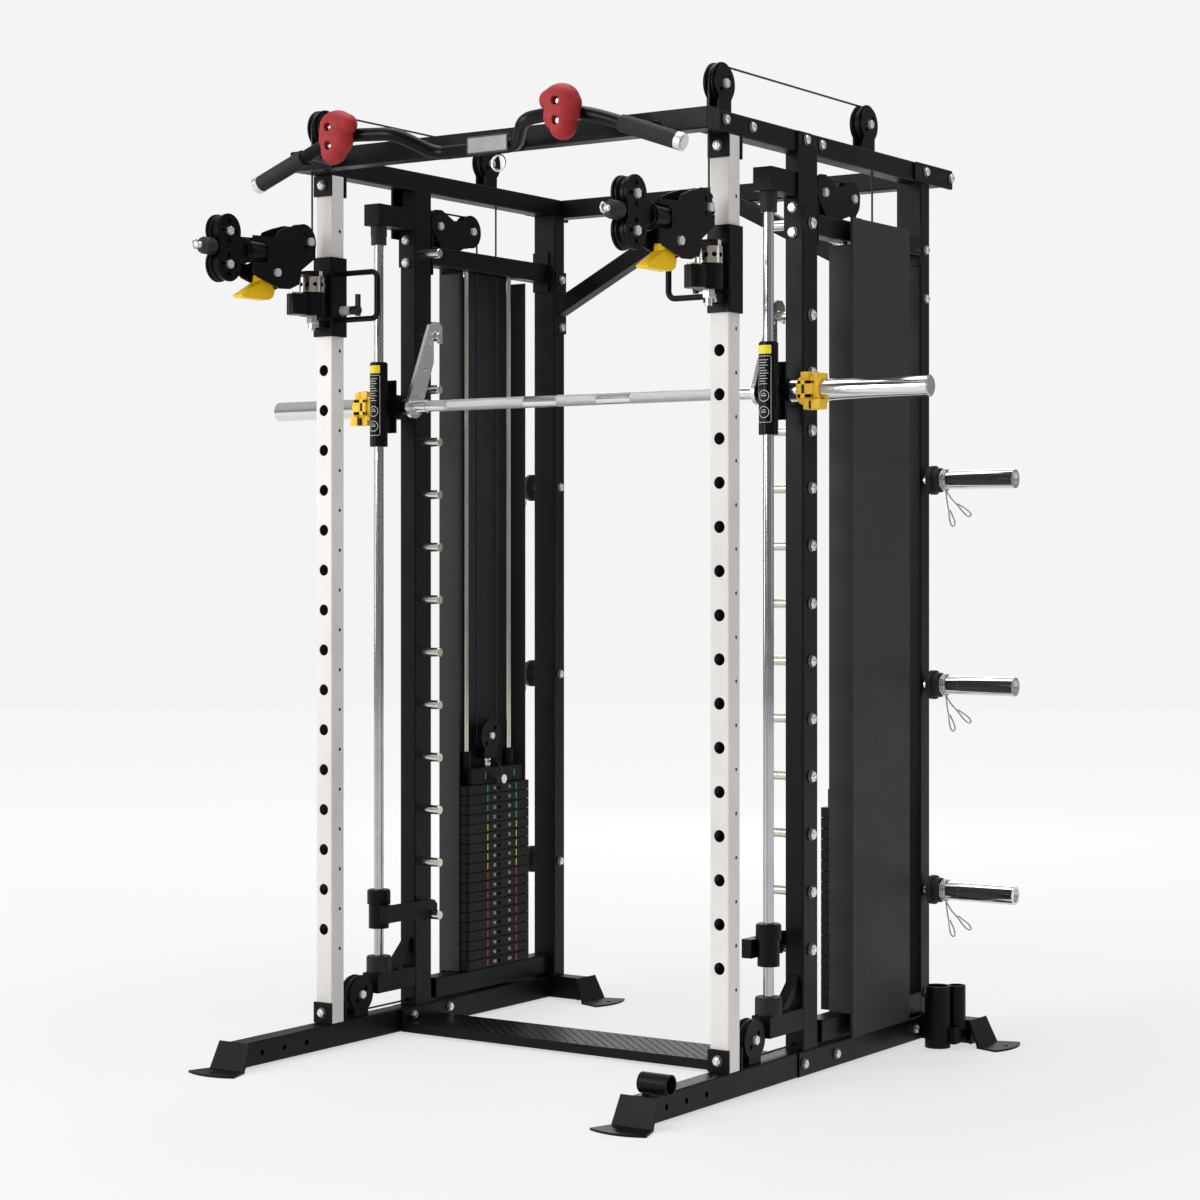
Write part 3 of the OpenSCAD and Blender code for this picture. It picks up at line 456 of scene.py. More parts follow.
# ---- mesh making -----------------------------------------------------------
def piece(name, bm, mat, body, smooth=True, angle=40.0):
    """An object made of bm, which is used up. It rides on the body, if there is one."""
    bmesh.ops.remove_doubles(bm, verts=bm.verts, dist=1e-6)
    bmesh.ops.recalc_face_normals(bm, faces=bm.faces)
    me = bpy.data.meshes.new(name)
    bm.to_mesh(me)
    bm.free()
    ob = bpy.data.objects.new(name, me)
    scene.collection.objects.link(ob)
    me.materials.append(mat)
    if smooth:
        for p in me.polygons:
            p.use_smooth = True
        me.set_sharp_from_angle(angle=math.radians(angle))
    if body:
        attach(ob, body)
    return ob


def frame_of(axis):
    """A turn that takes +Z to the axis."""
    return Vector(axis).to_track_quat("Z", "Y").to_matrix().to_4x4()


def lathe(bm, profile, at, axis=(0, 0, 1), n=32):
    """profile is (radius, height) pairs along the axis from at."""
    m = Matrix.Translation(Vector(at)) @ frame_of(axis)
    rings = []
    for r, h in profile:
        if r < 1e-7:
            rings.append([bm.verts.new(m @ Vector((0, 0, h)))])
        else:
            turns = [2 * math.pi * i / n for i in range(n)]
            rings.append([bm.verts.new(m @ Vector((r * math.cos(a), r * math.sin(a), h)))
                          for a in turns])
    for a, b in zip(rings, rings[1:]):
        for i in range(n):
            j = (i + 1) % n
            if len(a) == 1 and len(b) == 1:
                continue
            if len(a) == 1:
                bm.faces.new((a[0], b[j], b[i]))
            elif len(b) == 1:
                bm.faces.new((a[i], a[j], b[0]))
            else:
                bm.faces.new((a[i], a[j], b[j], b[i]))


def rbox(bm, lo, hi, bev=0.001, seg=2, turn=None):
    """A box with rounded edges between two corners."""
    b = bmesh.new()
    bmesh.ops.create_cube(b, size=1.0)
    lo, hi = Vector(lo), Vector(hi)
    for v in b.verts:
        v.co = Vector([(lo[i] + hi[i]) / 2 + v.co[i] * (hi[i] - lo[i]) for i in range(3)])
    if bev:
        bmesh.ops.bevel(b, geom=b.edges[:], offset=bev, segments=seg, affect="EDGES", profile=0.6)
    join(bm, b, turn)


def join(bm, b, turn=None):
    if turn is not None:
        bmesh.ops.transform(b, matrix=turn, verts=b.verts)
    me = bpy.data.meshes.new("t")
    b.to_mesh(me)
    b.free()
    bm.from_mesh(me)
    bpy.data.meshes.remove(me)


def tube(bm, pts, r, n=12, caps=True, closed=False):
    """A round bar swept along a line of points, turned as little as possible."""
    pts = [Vector(p) for p in pts]
    k = len(pts)
    tan = []
    for i in range(k):
        a = pts[(i - 1) % k] if closed or i else pts[0]
        b = pts[(i + 1) % k] if closed or i < k - 1 else pts[-1]
        tan.append((b - a).normalized())
    up = Vector((0, 0, 1)) if abs(tan[0].z) < 0.9 else Vector((1, 0, 0))
    nrm = (up - tan[0] * up.dot(tan[0])).normalized()
    rings = []
    for i in range(k):
        if i:
            nrm = (nrm - tan[i] * nrm.dot(tan[i])).normalized()
        bi = tan[i].cross(nrm)
        rr = r[i] if isinstance(r, (list, tuple)) else r
        turns = [2 * math.pi * j / n for j in range(n)]
        rings.append([bm.verts.new(pts[i] + (nrm * math.cos(a) + bi * math.sin(a)) * rr)
                      for a in turns])
    for a, b in (list(zip(rings, rings[1:])) + ([(rings[-1], rings[0])] if closed else [])):
        for j in range(n):
            bm.faces.new((a[j], a[(j + 1) % n], b[(j + 1) % n], b[j]))
    if caps and not closed:
        bm.faces.new(rings[0][::-1])
        bm.faces.new(rings[-1])


def nut(bm, at, axis, af, t):
    """Hexagon head with chamfered corners, a round collar and the rounded end of its bolt."""
    m = Matrix.Translation(Vector(at)) @ frame_of(axis)
    rc, ri = af / math.sqrt(3), af / 2 * 0.95
    t1, t2 = t * 0.62, t * 0.74

    def twelve(radii, h):
        return [bm.verts.new(m @ Vector((radii[i % 2] * math.cos(math.pi * i / 6),
                                         radii[i % 2] * math.sin(math.pi * i / 6), h)))
                for i in range(12)]

    a, b, b2 = twelve((rc, af / 2), 0), twelve((rc, af / 2), t1), twelve((ri, ri), t2)
    for p, q in ((a, b), (b, b2)):
        for i in range(12):
            bm.faces.new((p[i], p[(i + 1) % 12], q[(i + 1) % 12], q[i]))
    bm.faces.new(b2)
    bm.faces.new(a[::-1])
    lathe(bm, [(af * 0.36, t2 - 0.0001), (af * 0.36, t * 0.9), (af * 0.33, t * 0.96), (af * 0.27, t * 0.96),
               (af * 0.26, t * 0.86), (af * 0.22, t * 0.86), (af * 0.21, t * 0.97), (af * 0.12, t), (0, t)],
          at, axis, 20)


def islands(node):
    """The separate solids of a CAD node, as lists of points."""
    b = bmesh.new()
    b.from_mesh(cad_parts[node].data)
    bmesh.ops.remove_doubles(b, verts=b.verts, dist=1e-5)
    seen, out = set(), []
    for v in b.verts:
        if v.index in seen:
            continue
        todo, pts = [v], []
        seen.add(v.index)
        while todo:
            q = todo.pop()
            pts.append(q.co.copy())
            for e in q.link_edges:
                o = e.other_vert(q)
                if o.index not in seen:
                    seen.add(o.index)
                    todo.append(o)
        out.append(pts)
    b.free()
    return out


# ---- bolts -----------------------------------------------------------------
bm = bmesh.new()
for pts in islands("frame_bolts"):
    lo = Vector([min(p[i] for p in pts) for i in range(3)])
    hi = Vector([max(p[i] for p in pts) for i in range(3)])
    d, c = hi - lo, (hi + lo) / 2
    a = min(range(3), key=lambda i: d[i])
    af = sorted(d)[1]
    axis = Vector((0, 0, 0))
    if a == 0:
        out = 1 if c.x > 0 else -1
        inner = abs(c.x) < PX
        axis.x = -out if inner else out
    else:
        axis[a] = -1
    base = c.copy()
    base[a] = lo[a] if axis[a] > 0 else hi[a]
    nut(bm, base, axis, af, d[a])
bolts = piece("bolts_detailed", bm, M["zinc"], "frame", angle=25)
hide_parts("frame_bolts")

# ---- tube end plugs on the front crossbar ----------------------------------
bm = bmesh.new()
lo, hi = box("front_crossbar")
for g in (-1, 1):
    rbox(bm, (min(g * hi.x, g * (hi.x + 0.004)), lo.y + 0.001, lo.z + 0.001),
         (max(g * hi.x, g * (hi.x + 0.004)), hi.y - 0.001, hi.z - 0.001), 0.0016)
    rbox(bm, (min(g * (hi.x - 0.012), g * (hi.x + 0.001)), lo.y + 0.0045, lo.z + 0.0045),
         (max(g * (hi.x - 0.012), g * (hi.x + 0.001)), hi.y - 0.0045, hi.z - 0.0045), 0.001)
plugs = piece("end_plugs", bm, M["rubber"], "frame")

# ---- raised tread on the step plate ----------------------------------------
LOZENGE = ((1, 0), (0.55, 0.85), (-0.55, 0.85), (-1, 0), (-0.55, -0.85), (0.55, -0.85))
bm = bmesh.new()
lo, hi = box("step_plate")
ztop = lo.z + 0.024
y0, y1 = lo.y + 0.004, lo.y + 0.174
row = 0
y = y0 + 0.010
while y < y1 - 0.006:
    x = lo.x + 0.022 + (0.0145 if row % 2 else 0)
    while x < hi.x - 0.02:
        a = math.radians(45 if (row + int(round((x - lo.x) / 0.0145))) % 2 else -45)
        u, w = Vector((math.cos(a), math.sin(a), 0)), Vector((-math.sin(a), math.cos(a), 0))
        o = Vector((x, y, ztop))
        rims = []
        for h, long, wide in ((-0.0002, 0.0105, 0.0034), (0.0010, 0.0080, 0.0018)):
            rims.append([bm.verts.new(o + u * long * p + w * wide * q + Vector((0, 0, h)))
                         for p, q in LOZENGE])
        for i in range(6):
            bm.faces.new((rims[0][i], rims[0][(i + 1) % 6], rims[1][(i + 1) % 6], rims[1][i]))
        bm.faces.new(rims[1])
        x += 0.029
    y += 0.0135
    row += 1
tread = piece("tread_pattern", bm, M["frame2"], "frame", angle=50)


# ---- weight plate ticks and numbers ----------------------------------------
def text_mesh(s, size):
    cu = bpy.data.curves.new("n", "FONT")
    cu.body, cu.size, cu.align_x, cu.align_y = s, size, "CENTER", "CENTER"
    cu.resolution_u = 3
    ob = bpy.data.objects.new("n", cu)
    scene.collection.objects.link(ob)
    me = bpy.data.meshes.new_from_object(ob.evaluated_get(bpy.context.evaluated_depsgraph_get()))
    bpy.data.objects.remove(ob)
    bpy.data.curves.remove(cu)
    return me


inner_x = PX - 0.044  # the face of the plates that looks into the machine
ticks = {k: bmesh.new() for k in ("teal", "lime", "crim")}
nums = bmesh.new()
head_t = {s: bmesh.new() for s, g in SIDES}
for i in range(20):
    head = i == 19
    zc = HEAD_Z + 0.021 if head else PLATE_Z + i * PLATE_PITCH + 0.0122
    c = "crim" if i < 10 else "lime" if i < 15 else "teal"
    label = text_mesh(str(5 * (20 - i)), 0.0115)
    for s, g in SIDES:
        xf = g * (inner_x if not head else PX - 0.037)
        e = -g * 0.0003
        m = Matrix(((0, 0, -g, xf + e), (-g, 0, 0, 0), (0, 1, 0, zc), (0, 0, 0, 1)))
        for dy, kind in ((-0.052, "t"), (0.079, "t"), (-0.021, "n"), (0.047, "n")):
            yy = STACK.y + dy
            if kind == "t":
                b = head_t[s] if head else ticks[c]
                half = Vector((0.0003, 0.0017, 0.0085))
                rbox(b, Vector((xf, yy, zc)) - half, Vector((xf, yy, zc)) + half, 0.0002, 1)
            elif not head:
                t = bmesh.new()
                t.from_mesh(label)
                m2 = m.copy()
                m2[1][3] = yy
                join(nums, t, m2)
    bpy.data.meshes.remove(label)
for c, b in ticks.items():
    piece(f"plate_ticks_{c}", b, M[c], "frame", False)
piece("plate_numbers", nums, M["white"], "frame", False)
for s, g in SIDES:
    piece(f"head_ticks_{s}", head_t[s], M["teal"], f"stack_{s}", False)

# ---- round labels wrapped on the bearing housings --------------------------
HOUSING_R = 0.0230


def wrapped(bm, g, quads, off):
    """Flat quads of (along, up) points, wrapped round the front of a housing."""
    r = HOUSING_R + off
    for quad in quads:
        vs = []
        for u, v in quad:
            a = -math.pi / 2 + u / HOUSING_R
            vs.append(bm.verts.new((g * PX + r * math.cos(a), ROD_Y + r * math.sin(a), v)))
        bm.faces.new(vs)


def strip(u0, u1, v0, v1):
    """A flat bar as quads short enough to bend."""
    k = max(1, int(abs(u1 - u0) / 0.002))
    return [((u0 + (u1 - u0) * i / k, v0), (u0 + (u1 - u0) * (i + 1) / k, v0),
             (u0 + (u1 - u0) * (i + 1) / k, v1), (u0 + (u1 - u0) * i / k, v1)) for i in range(k)]


def ring(u, v, r0, r1, a0=0.0, a1=360.0):
    """A flat ring, or a part of one, as quads."""
    k = max(6, int((a1 - a0) / 12))
    q = []
    for i in range(k):
        a, b = (math.radians(a0 + (a1 - a0) * j / k) for j in (i, i + 1))
        q.append([(u + rad * math.cos(t), v + rad * math.sin(t))
                  for rad, t in ((r0, a), (r1, a), (r1, b), (r0, b))])
    return q


zt = box("bar_bearings")[1].z - 0.003
lw, hb = bmesh.new(), bmesh.new()
for s, g in SIDES:
    W, T = 0.0185, 0.0009
    wrapped(hb, g, strip(-W, W, zt - 0.026, zt - 0.006), 0.0004)
    z0, z1 = zt - 0.186, zt - 0.031
    R = 0.005
    q = strip(-W + R, W - R, z1 - T, z1) + strip(-W + R, W - R, z0, z0 + T)
    for sgn in (-1, 1):
        q += strip(sgn * W, sgn * (W - T), z0 + R, z1 - R)
    for cu, cv, a in ((W - R, z1 - R, 0), (-W + R, z1 - R, 90), (-W + R, z0 + R, 180), (W - R, z0 + R, 270)):
        q += ring(cu, cv, R - T, R, a, a + 90)
    for i in range(10):
        ln = (0.9, 0.75, 0.85, 0.6, 0.8, 0.9, 0.7, 0.85, 0.65, 0.8)[i]
        v = z1 - 0.010 - i * 0.0062
        q += strip(-W + 0.004, -W + 0.004 + (2 * W - 0.008) * ln, v, v + 0.0011)
    for v in (z0 + 0.062, z0 + 0.024):
        q += ring(0, v, 0.0125, 0.0136)
        q += strip(-0.007, 0.007, v - 0.0006, v + 0.0006)
        q += ring(0, v, 0.0055, 0.0064, 20, 160)
    wrapped(lw, g, q, 0.0004)
piece("bearing_label_lines", lw, M["white"], "bar", False)
piece("bearing_label_bands", hb, M["lime"], "bar", False)

# ---- collar clamps ---------------------------------------------------------
for s, g in SIDES:
    lo, hi = box(f"collar_clamp_{s}")
    x0 = (lo.x if g > 0 else -hi.x)
    c = lambda x, y, z: (g * (x0 + x), BAR.y + y, BAR.z + z)

    def cbox(b, lo_, hi_, bev=0.0016):
        p, q = c(*lo_), c(*hi_)
        rbox(b, [min(p[i], q[i]) for i in range(3)], [max(p[i], q[i]) for i in range(3)], bev)
    bm = bmesh.new()
    ax = (g, 0, 0)
    lathe(bm, [(0.0256, 0.0), (0.0325, 0.0), (0.0330, 0.0012), (0.0330, 0.0052), (0.0348, 0.0058),
               (0.0368, 0.0078), (0.0368, 0.0170), (0.0352, 0.0182), (0.0352, 0.0232), (0.0368, 0.0244),
               (0.0368, 0.0380), (0.0356, 0.0400), (0.0356, 0.0440), (0.0368, 0.0452), (0.0368, 0.0500),
               (0.0350, 0.0516), (0.0330, 0.0520), (0.0330, 0.0580), (0.0318, 0.0592), (0.0256, 0.0592),
               (0.0256, 0.0)],
          c(0, 0, 0), ax, 56)
    for a in range(0, 360, 24):
        if 60 < a < 120 or 200 < a < 300:
            continue
        t = math.radians(a)
        b = bmesh.new()
        bmesh.ops.create_cube(b, size=1.0)
        for v in b.verts:
            v.co = Vector((v.co.x * 0.012, v.co.y * 0.004, v.co.z * 0.0032))
        bmesh.ops.bevel(b, geom=b.edges[:], offset=0.0008, segments=2, affect="EDGES")
        join(bm, b, Matrix.Translation(Vector(c(0.031, 0, 0))) @ Matrix.Rotation(t, 4, "X")
             @ Matrix.Translation((0, 0, 0.0366)))
    cbox(bm, (0.0083, -0.040, -0.020), (0.0190, -0.024, 0.022))
    cbox(bm, (0.0270, -0.040, -0.020), (0.0483, -0.024, 0.022))
    cbox(bm, (0.0083, -0.040, 0.012), (0.0483, -0.024, 0.022))
    cbox(bm, (0.0083, -0.040, -0.020), (0.0483, -0.024, -0.009))
    cbox(bm, (0.0113, -0.030, 0.020), (0.0333, 0.024, 0.0425), 0.0025)
    cbox(bm, (0.0393, -0.026, 0.020), (0.0553, 0.024, 0.0405), 0.0025)
    cbox(bm, (0.0333, -0.012, 0.024), (0.0403, 0.018, 0.0375), 0.0012)
    cbox(bm, (0.0153, -0.024, -0.0455), (0.0333, 0.014, -0.024), 0.0025)
    cbox(bm, (0.0413, -0.034, -0.0455), (0.0650, 0.004, -0.022), 0.0025)
    clamp = piece(f"clamp_body_{s}", bm, M["yellow"], f"sleeve_{s}", angle=35)
    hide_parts(f"collar_clamp_{s}")
    bm = bmesh.new()
    cbox(bm, (0.0188, -0.0372, -0.010), (0.0272, -0.030, 0.013), 0.0008)
    cbox(bm, (0.0335, -0.030, -0.0445), (0.0412, 0.006, -0.026), 0.0012)
    for x, y, z in ((0.0233, -0.020, 0.041), (0.0473, -0.016, 0.039)):
        lathe(bm, [(0.0052, 0), (0.0052, 0.0016), (0.0044, 0.0026), (0.0024, 0.0026), (0.0022, 0.0012),
                   (0, 0.0012)],
              c(x, y, z), (0, 0, 1), 20)
    trim = piece(f"clamp_trim_{s}", bm, M["rubber"], f"sleeve_{s}")

# ---- pull-up bar with rounded bends -----------------------------------------
def rounded(pts, rad, n=9):
    """The line through the points with each corner turned into a bend."""
    pts = [Vector(p) for p in pts]
    out = [pts[0]]
    for a, b, c in zip(pts, pts[1:], pts[2:]):
        u, w = (a - b).normalized(), (c - b).normalized()
        d = min(rad, 0.45 * (a - b).length, 0.45 * (c - b).length)
        p, q = b + u * d, b + w * d
        out += [p * (1 - t) ** 2 + b * 2 * t * (1 - t) + q * t * t
                for t in [i / (n - 1) for i in range(n)]]
    return out + [pts[-1]]


PU = [(0, -166, 2186), (118, -166, 2186), (186, -236, 2230), (318, -252, 2236),
      (402, -246, 2216), (602, -236, 2145)]  # mm from the middle of the front posts
half = [(x / 1000, POST_Y + y / 1000, z / 1000) for x, y, z in PU]
bm = bmesh.new()
tube(bm, rounded([(-x, y, z) for x, y, z in half[:0:-1]] + half, 0.032), 0.016, 24)
WELD = [(0.0128, -0.004), (0.0155, -0.003), (0.0162, -0.0003), (0.0128, -0.0003)]
for g in (-1, 1):
    for x0, y0, z0, x1, z1 in ((0.096, 0.166, 2.186, 0.096, 2.196), (0.440, 0.245, 2.202, 0.470, 2.202)):
        a, b = Vector((g * x0, POST_Y - y0, z0)), Vector((g * x1, POST_Y - 0.1207, z1))
        tube(bm, [a, b], 0.012, 20)
        lathe(bm, WELD, b, (0, 1, 0), 24)
pull = piece("pull_up_tube", bm, M["bar"], "frame", angle=60)
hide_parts("pull_up_bar")

# ---- climbing holds --------------------------------------------------------
# centre and half sizes, in mm, of the rounds that each hold is fused from
BLOBS = ((1, 0, 27, 47, 34, 38), (9, -3, -33, 33, 28, 31), (-27, 0, 29, 27, 26, 26),
         (7, -2, -4, 42, 33, 38), (27, 2, 17, 25, 26, 28), (-8, -1, -8, 34, 30, 34))
for s, g in SIDES:
    hx, hy, hz = g * 0.322, POST_Y - 0.283, 2.227
    bm = bmesh.new()
    for cx, cy, cz, rx, ry, rz in BLOBS:
        b = bmesh.new()
        bmesh.ops.create_icosphere(b, subdivisions=4, radius=1.0)
        for v in b.verts:
            v.co = Vector((hx + g * (cx + v.co.x * rx) / 1000, hy + (cy + v.co.y * ry) / 1000,
                           hz + (cz + v.co.z * rz) / 1000))
        join(bm, b)
    ob = piece(f"hold_{s}", bm, M["red"], None)
    md = ob.modifiers.new("r", "REMESH")
    md.mode, md.voxel_size = "VOXEL", 0.0026
    md = ob.modifiers.new("s", "SMOOTH")
    md.factor, md.iterations = 0.5, 14
    cuts = bmesh.new()
    for q in (22, -22):
        at = (hx + g * 0.006, hy - 0.016, hz + q / 1000)
        lathe(cuts, [(0, 0), (0.0095, 0), (0.0100, 0.0010), (0.0112, 0.06), (0, 0.06)], at, (0, -1, 0), 32)
    lathe(cuts, [(0, -0.12), (0.0185, -0.12), (0.0185, 0.12), (0, 0.12)],
          (hx, POST_Y - 0.252, 2.236), (1, 0, 0.02 * g), 40)
    cut = piece("cut", cuts, M["red"], None)
    md = ob.modifiers.new("b", "BOOLEAN")
    md.operation, md.object, md.solver = "DIFFERENCE", cut, "EXACT"
    me = bpy.data.meshes.new_from_object(ob.evaluated_get(bpy.context.evaluated_depsgraph_get()))
    ob.modifiers.clear()
    ob.data = me
    bpy.data.objects.remove(cut)
    for p in me.polygons:
        p.use_smooth = True
    me.set_sharp_from_angle(angle=math.radians(50))
    me.materials.clear()
    me.materials.append(M["red"])
    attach(ob, "frame")
    if s == "left":
        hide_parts("climbing_holds")
    bm = bmesh.new()
    for q in (22, -22):
        at = Vector((hx + g * 0.006, hy - 0.0158, hz + q / 1000))
        lathe(bm, [(0.0088, 0), (0.0088, 0.0012), (0.0080, 0.0016), (0.004, 0.0016)], at, (0, -1, 0), 28)
        nut(bm, at + Vector((0, -0.0014, 0)), (0, -1, 0), 0.0125, 0.0065)
    piece(f"hold_bolts_{s}", bm, M["zinc"], "frame", angle=25)

# ---- spring clips on the storage horns -------------------------------------
HORN_Y = mid("storage_horns").y
col_x = box("horn_collars")[1].x


def handle(p, g, out, along, reach):
    """A wire run from the coil that ends in a long teardrop loop."""
    o = p + Vector((g * out[0], out[1], out[2]))
    d = Vector((g * along[0], along[1], along[2])).normalized()
    w = Vector((d.z, 0, -d.x)).normalized()
    run = [p.lerp(o, t) + Vector((0, 0, -0.004 * math.sin(math.pi * t)))
           for t in (0.15, 0.3, 0.5, 0.7, 0.85, 1.0)]
    for a in [math.radians(q) for q in range(18, 350, 18)]:
        wide = 0.0085 * math.sin(a) * (0.55 - 0.45 * math.cos(a))
        run.append(o + d * reach * 0.5 * (1 - math.cos(a)) + w * wide + Vector((0, 0.0012 * a, 0)))
    return run


bm = bmesh.new()
for z in sorted({round(sum(p.z for p in pts) / len(pts), 2) for pts in islands("horn_collars")}):
    zc = min((0.384, 0.907, 1.429), key=lambda q: abs(q - z))
    for g in (-1, 1):
        pts = []
        rr = HORN_R + 0.0026
        turns = 2.85
        x0 = col_x + 0.006
        for i in range(int(turns * 24) + 1):
            a = math.radians(-62) + 2 * math.pi * i / 24
            pts.append((g * (x0 + 0.0044 * i / 24), HORN_Y + rr * math.cos(a), zc + rr * math.sin(a)))
        t0 = handle(Vector(pts[0]), g, (0.010, -0.004, -0.052), (0.30, 0.0, -1.0), 0.044)
        t1 = handle(Vector(pts[-1]), g, (0.032, -0.003, -0.038), (0.75, 0.0, -0.62), 0.050)
        tube(bm, t0[::-1] + pts + t1, 0.0019, 8)
clips = piece("spring_clip_wires", bm, M["wire"], "frame", angle=60)
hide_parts("spring_clips")

# ---- cable ends, their snap rings, and the cable that leads to them --------
for s, g in SIDES:
    x = g * PX
    c = Vector((x, YOKE_Y, ARM_Z))
    bm = bmesh.new()
    lathe(bm, [(0, 0.036), (0.012, 0.036), (0.0185, 0.037), (0.0205, 0.040), (0.0208, 0.047),
               (0.0198, 0.056), (0.0208, 0.060), (0.0206, 0.068), (0.0190, 0.0725), (0.0150, 0.074),
               (0.0145, 0.0765), (0.0085, 0.0775), (0, 0.0775)], c, (0, -1, 0), 40)
    stop = piece(f"cable_stop_{s}", bm, M["rubber"], f"cable_end_{s}")
    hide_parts(f"cable_end_{s}")
    bm = bmesh.new()
    lathe(bm, [(0.0066, 0.0770), (0.0070, 0.0778), (0.0070, 0.0850), (0.0062, 0.0862),
               (0.0052, 0.0890), (0, 0.0895)], c, (0, -1, 0), 28)
    o = c + Vector((0, -0.0975, 0))
    tube(bm, [o + Vector((0, 0.0098 * math.cos(a), 0.0098 * math.sin(a))) for a in
              [2 * math.pi * i / 28 for i in range(28)]], 0.0028, 10, closed=True)
    eye = piece(f"cable_eye_{s}", bm, M["cap"], f"cable_end_{s}")
    # cable from the yoke wheels to the stop
    bm = bmesh.new()
    tube(bm, [(x, YOKE_Y - 0.040 * i / 60, ARM_Z) for i in range(61)], CABLE_R, 10)
    cab = piece(f"pull_cable_{s}", bm, M["cable"], None)
    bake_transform(cab)
    # cable through the arm: off the rear wheel, along to the yoke
    bm = bmesh.new()
    zc = ARM_Z + 0.041
    yc = SWIVEL_Y - WHEEL_R
    pts = [(x, yc + WHEEL_R * math.cos(a), zc + WHEEL_R * math.sin(a))
           for a in [math.radians(q) for q in range(0, -91, -10)]]
    tube(bm, pts + [(x, yc - 0.05, ARM_Z - 0.0025), (x, SWIVEL_Y - 0.262, ARM_Z)], CABLE_R, 10)
    run = piece(f"arm_inner_cable_{s}", bm, M["cable"], f"arm_{s}")

# ---- cable from the top of the frame down to the floating wheels -----------
for s, g in SIDES:
    x, yc, zf = g * PX, STACK.y + 0.001, HEAD_Z + 0.126
    bm = bmesh.new()
    tube(bm, [(x, yc + WHEEL_R * math.cos(a), zf + WHEEL_R * math.sin(a)) for a in
              [math.radians(q) for q in range(-180, 1, 6)]], CABLE_R, 10)
    loop = piece(f"stack_cable_loop_{s}", bm, M["cable"], f"stack_{s}")
    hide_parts(f"stack_cable_{s}")
    bm = bmesh.new()
    for y, top in ((yc - WHEEL_R, 2.108), (yc + WHEEL_R, 2.121)):
        tube(bm, [(x, y, zf + (top - zf) * i / 60) for i in range(61)], CABLE_R, 10)
    runs = piece(f"stack_cable_runs_{s}", bm, M["cable"], None)
    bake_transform(runs)

# ---- cable from the front top wheels down to the arms ----------------------
for s, g in SIDES:
    lo, hi = box(f"arm_cable_{s}")
    x, y = (lo.x + hi.x) / 2, (lo.y + hi.y) / 2
    bm = bmesh.new()
    tube(bm, [(x, y, lo.z + (hi.z - lo.z) * i / 60) for i in range(61)], CABLE_R, 10)
    drop = piece(f"arm_cable_run_{s}", bm, M["cable"], None)
    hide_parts(f"arm_cable_{s}")
    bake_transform(drop)

# ---- lanyards of the stack pins --------------------------------------------
for s, g in SIDES:
    lo, hi = box(f"selector_pin_{s}")
    xk = g * (min(abs(lo.x), abs(hi.x)) + 0.004)
    pc = Vector((xk, (lo.y + hi.y) / 2, (lo.z + hi.z) / 2))
    top = Vector((g * (PX - 0.030), STACK.y - 0.030, HEAD_Z + 0.058))
    a, b = pc + Vector((0, 0, 0.0125)), top
    pts = []
    for i in range(25):
        t = i / 24
        p = a.lerp(b, t)
        p.z += 0.016 * math.sin(math.pi * t) + 0.004 * math.sin(3 * math.pi * t)
        p.x -= g * 0.020 * math.sin(math.pi * t)
        p.y -= 0.026 * math.sin(math.pi * t) * (1 - t)
        pts.append(p)
    bm = bmesh.new()
    tube(bm, pts, 0.0018, 8)
    piece(f"pin_lanyard_{s}", bm, M["cable"], f"pin_{s}")

# ---- stage, light and camera ----------------------------------------------
k = Mat("studio_floor")
k.put(k.b.inputs["Base Color"], k.mix(k.noise(0.7, 3.0), (0.26, 0.26, 0.26), (0.27, 0.27, 0.27)))
k.b.inputs["Roughness"].default_value = 0.9
k.b.inputs["Specular IOR Level"].default_value = 0.1
k.b.inputs["Emission Color"].default_value = (1, 1, 1, 1)
# a faint glow that grows with the distance keeps the floor as pale as the backdrop
k.put(k.b.inputs["Emission Strength"], k.range(k.dist(k.x, k.y, 0.0, 0.0), 1.2, 6.5, 0.60, 0.775))
bm = bmesh.new()
bmesh.ops.create_circle(bm, cap_ends=True, cap_tris=False, segments=96, radius=16.0)
floor = piece("floor", bm, k.m, None, False)
floor.location.z = -0.0005


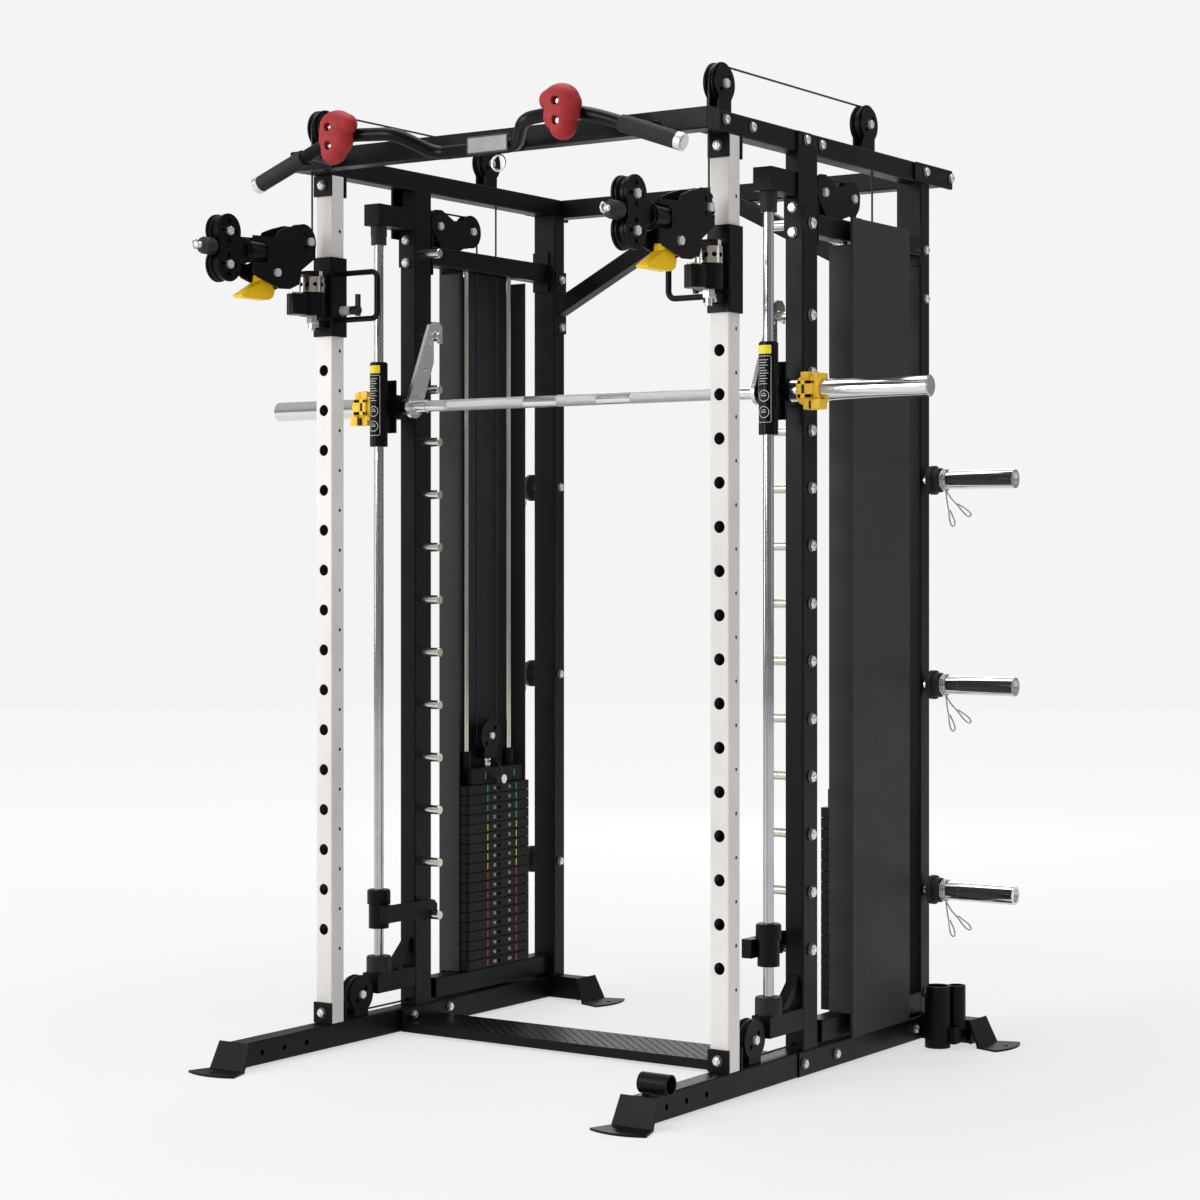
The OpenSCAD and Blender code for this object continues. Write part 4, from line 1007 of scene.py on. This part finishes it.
def area(name, loc, aim, size, power):
    d = bpy.data.lights.new(name, "AREA")
    d.shape, d.size, d.size_y, d.energy = "RECTANGLE", size[0], size[1], power
    o = bpy.data.objects.new(name, d)
    scene.collection.objects.link(o)
    o.location = loc
    o.rotation_euler = (Vector(aim) - Vector(loc)).to_track_quat("-Z", "Y").to_euler()


area("key", (-1.6, -6.0, 3.0), (0, 0, 1.2), (2.6, 3.0), 185)
area("fill", (-5.2, -2.6, 2.4), (0, 0, 1.2), (1.6, 3.2), 70)
area("side", (5.4, 1.6, 2.6), (0, 0, 1.2), (0.8, 3.4), 14)
area("top", (0.0, 0.2, 5.4), (0, 0, 0), (3.6, 3.6), 120)
area("back", (-2.5, 5.2, 3.2), (0, 0, 1.2), (2.4, 2.4), 60)

# the backdrop is pale to the camera and darker, from floor to ceiling, in reflections
w = bpy.data.worlds.new("studio")
scene.world = w
w.use_nodes = True
t = w.node_tree
bg = t.nodes["Background"]
geo = t.nodes.new("ShaderNodeTexCoord")
sep = t.nodes.new("ShaderNodeSeparateXYZ")
t.links.new(geo.outputs["Generated"], sep.inputs[0])
mr = t.nodes.new("ShaderNodeMapRange")
t.links.new(sep.outputs["Z"], mr.inputs[0])
for i, v in enumerate((-0.10, 0.60, 0.22, 0.55)):
    mr.inputs[i + 1].default_value = v
lp = t.nodes.new("ShaderNodeLightPath")
mx = t.nodes.new("ShaderNodeMix")
t.links.new(lp.outputs["Is Camera Ray"], mx.inputs[0])
t.links.new(mr.outputs[0], mx.inputs[2])
mx.inputs[3].default_value = 0.905
t.links.new(mx.outputs[0], bg.inputs["Strength"])
bg.inputs["Color"].default_value = (1, 1, 1, 1)

cam = bpy.data.cameras.new("camera")
cam.sensor_width, cam.lens = 36.0, 80.05
cam.shift_y = -0.0322
co = bpy.data.objects.new("camera", cam)
scene.collection.objects.link(co)
co.location = (3.7283, -5.4779, 1.222)
co.rotation_euler = (math.pi / 2, 0, math.radians(33.95))
scene.camera = co
scene.view_settings.view_transform = "Standard"
scene.view_settings.look = "None"
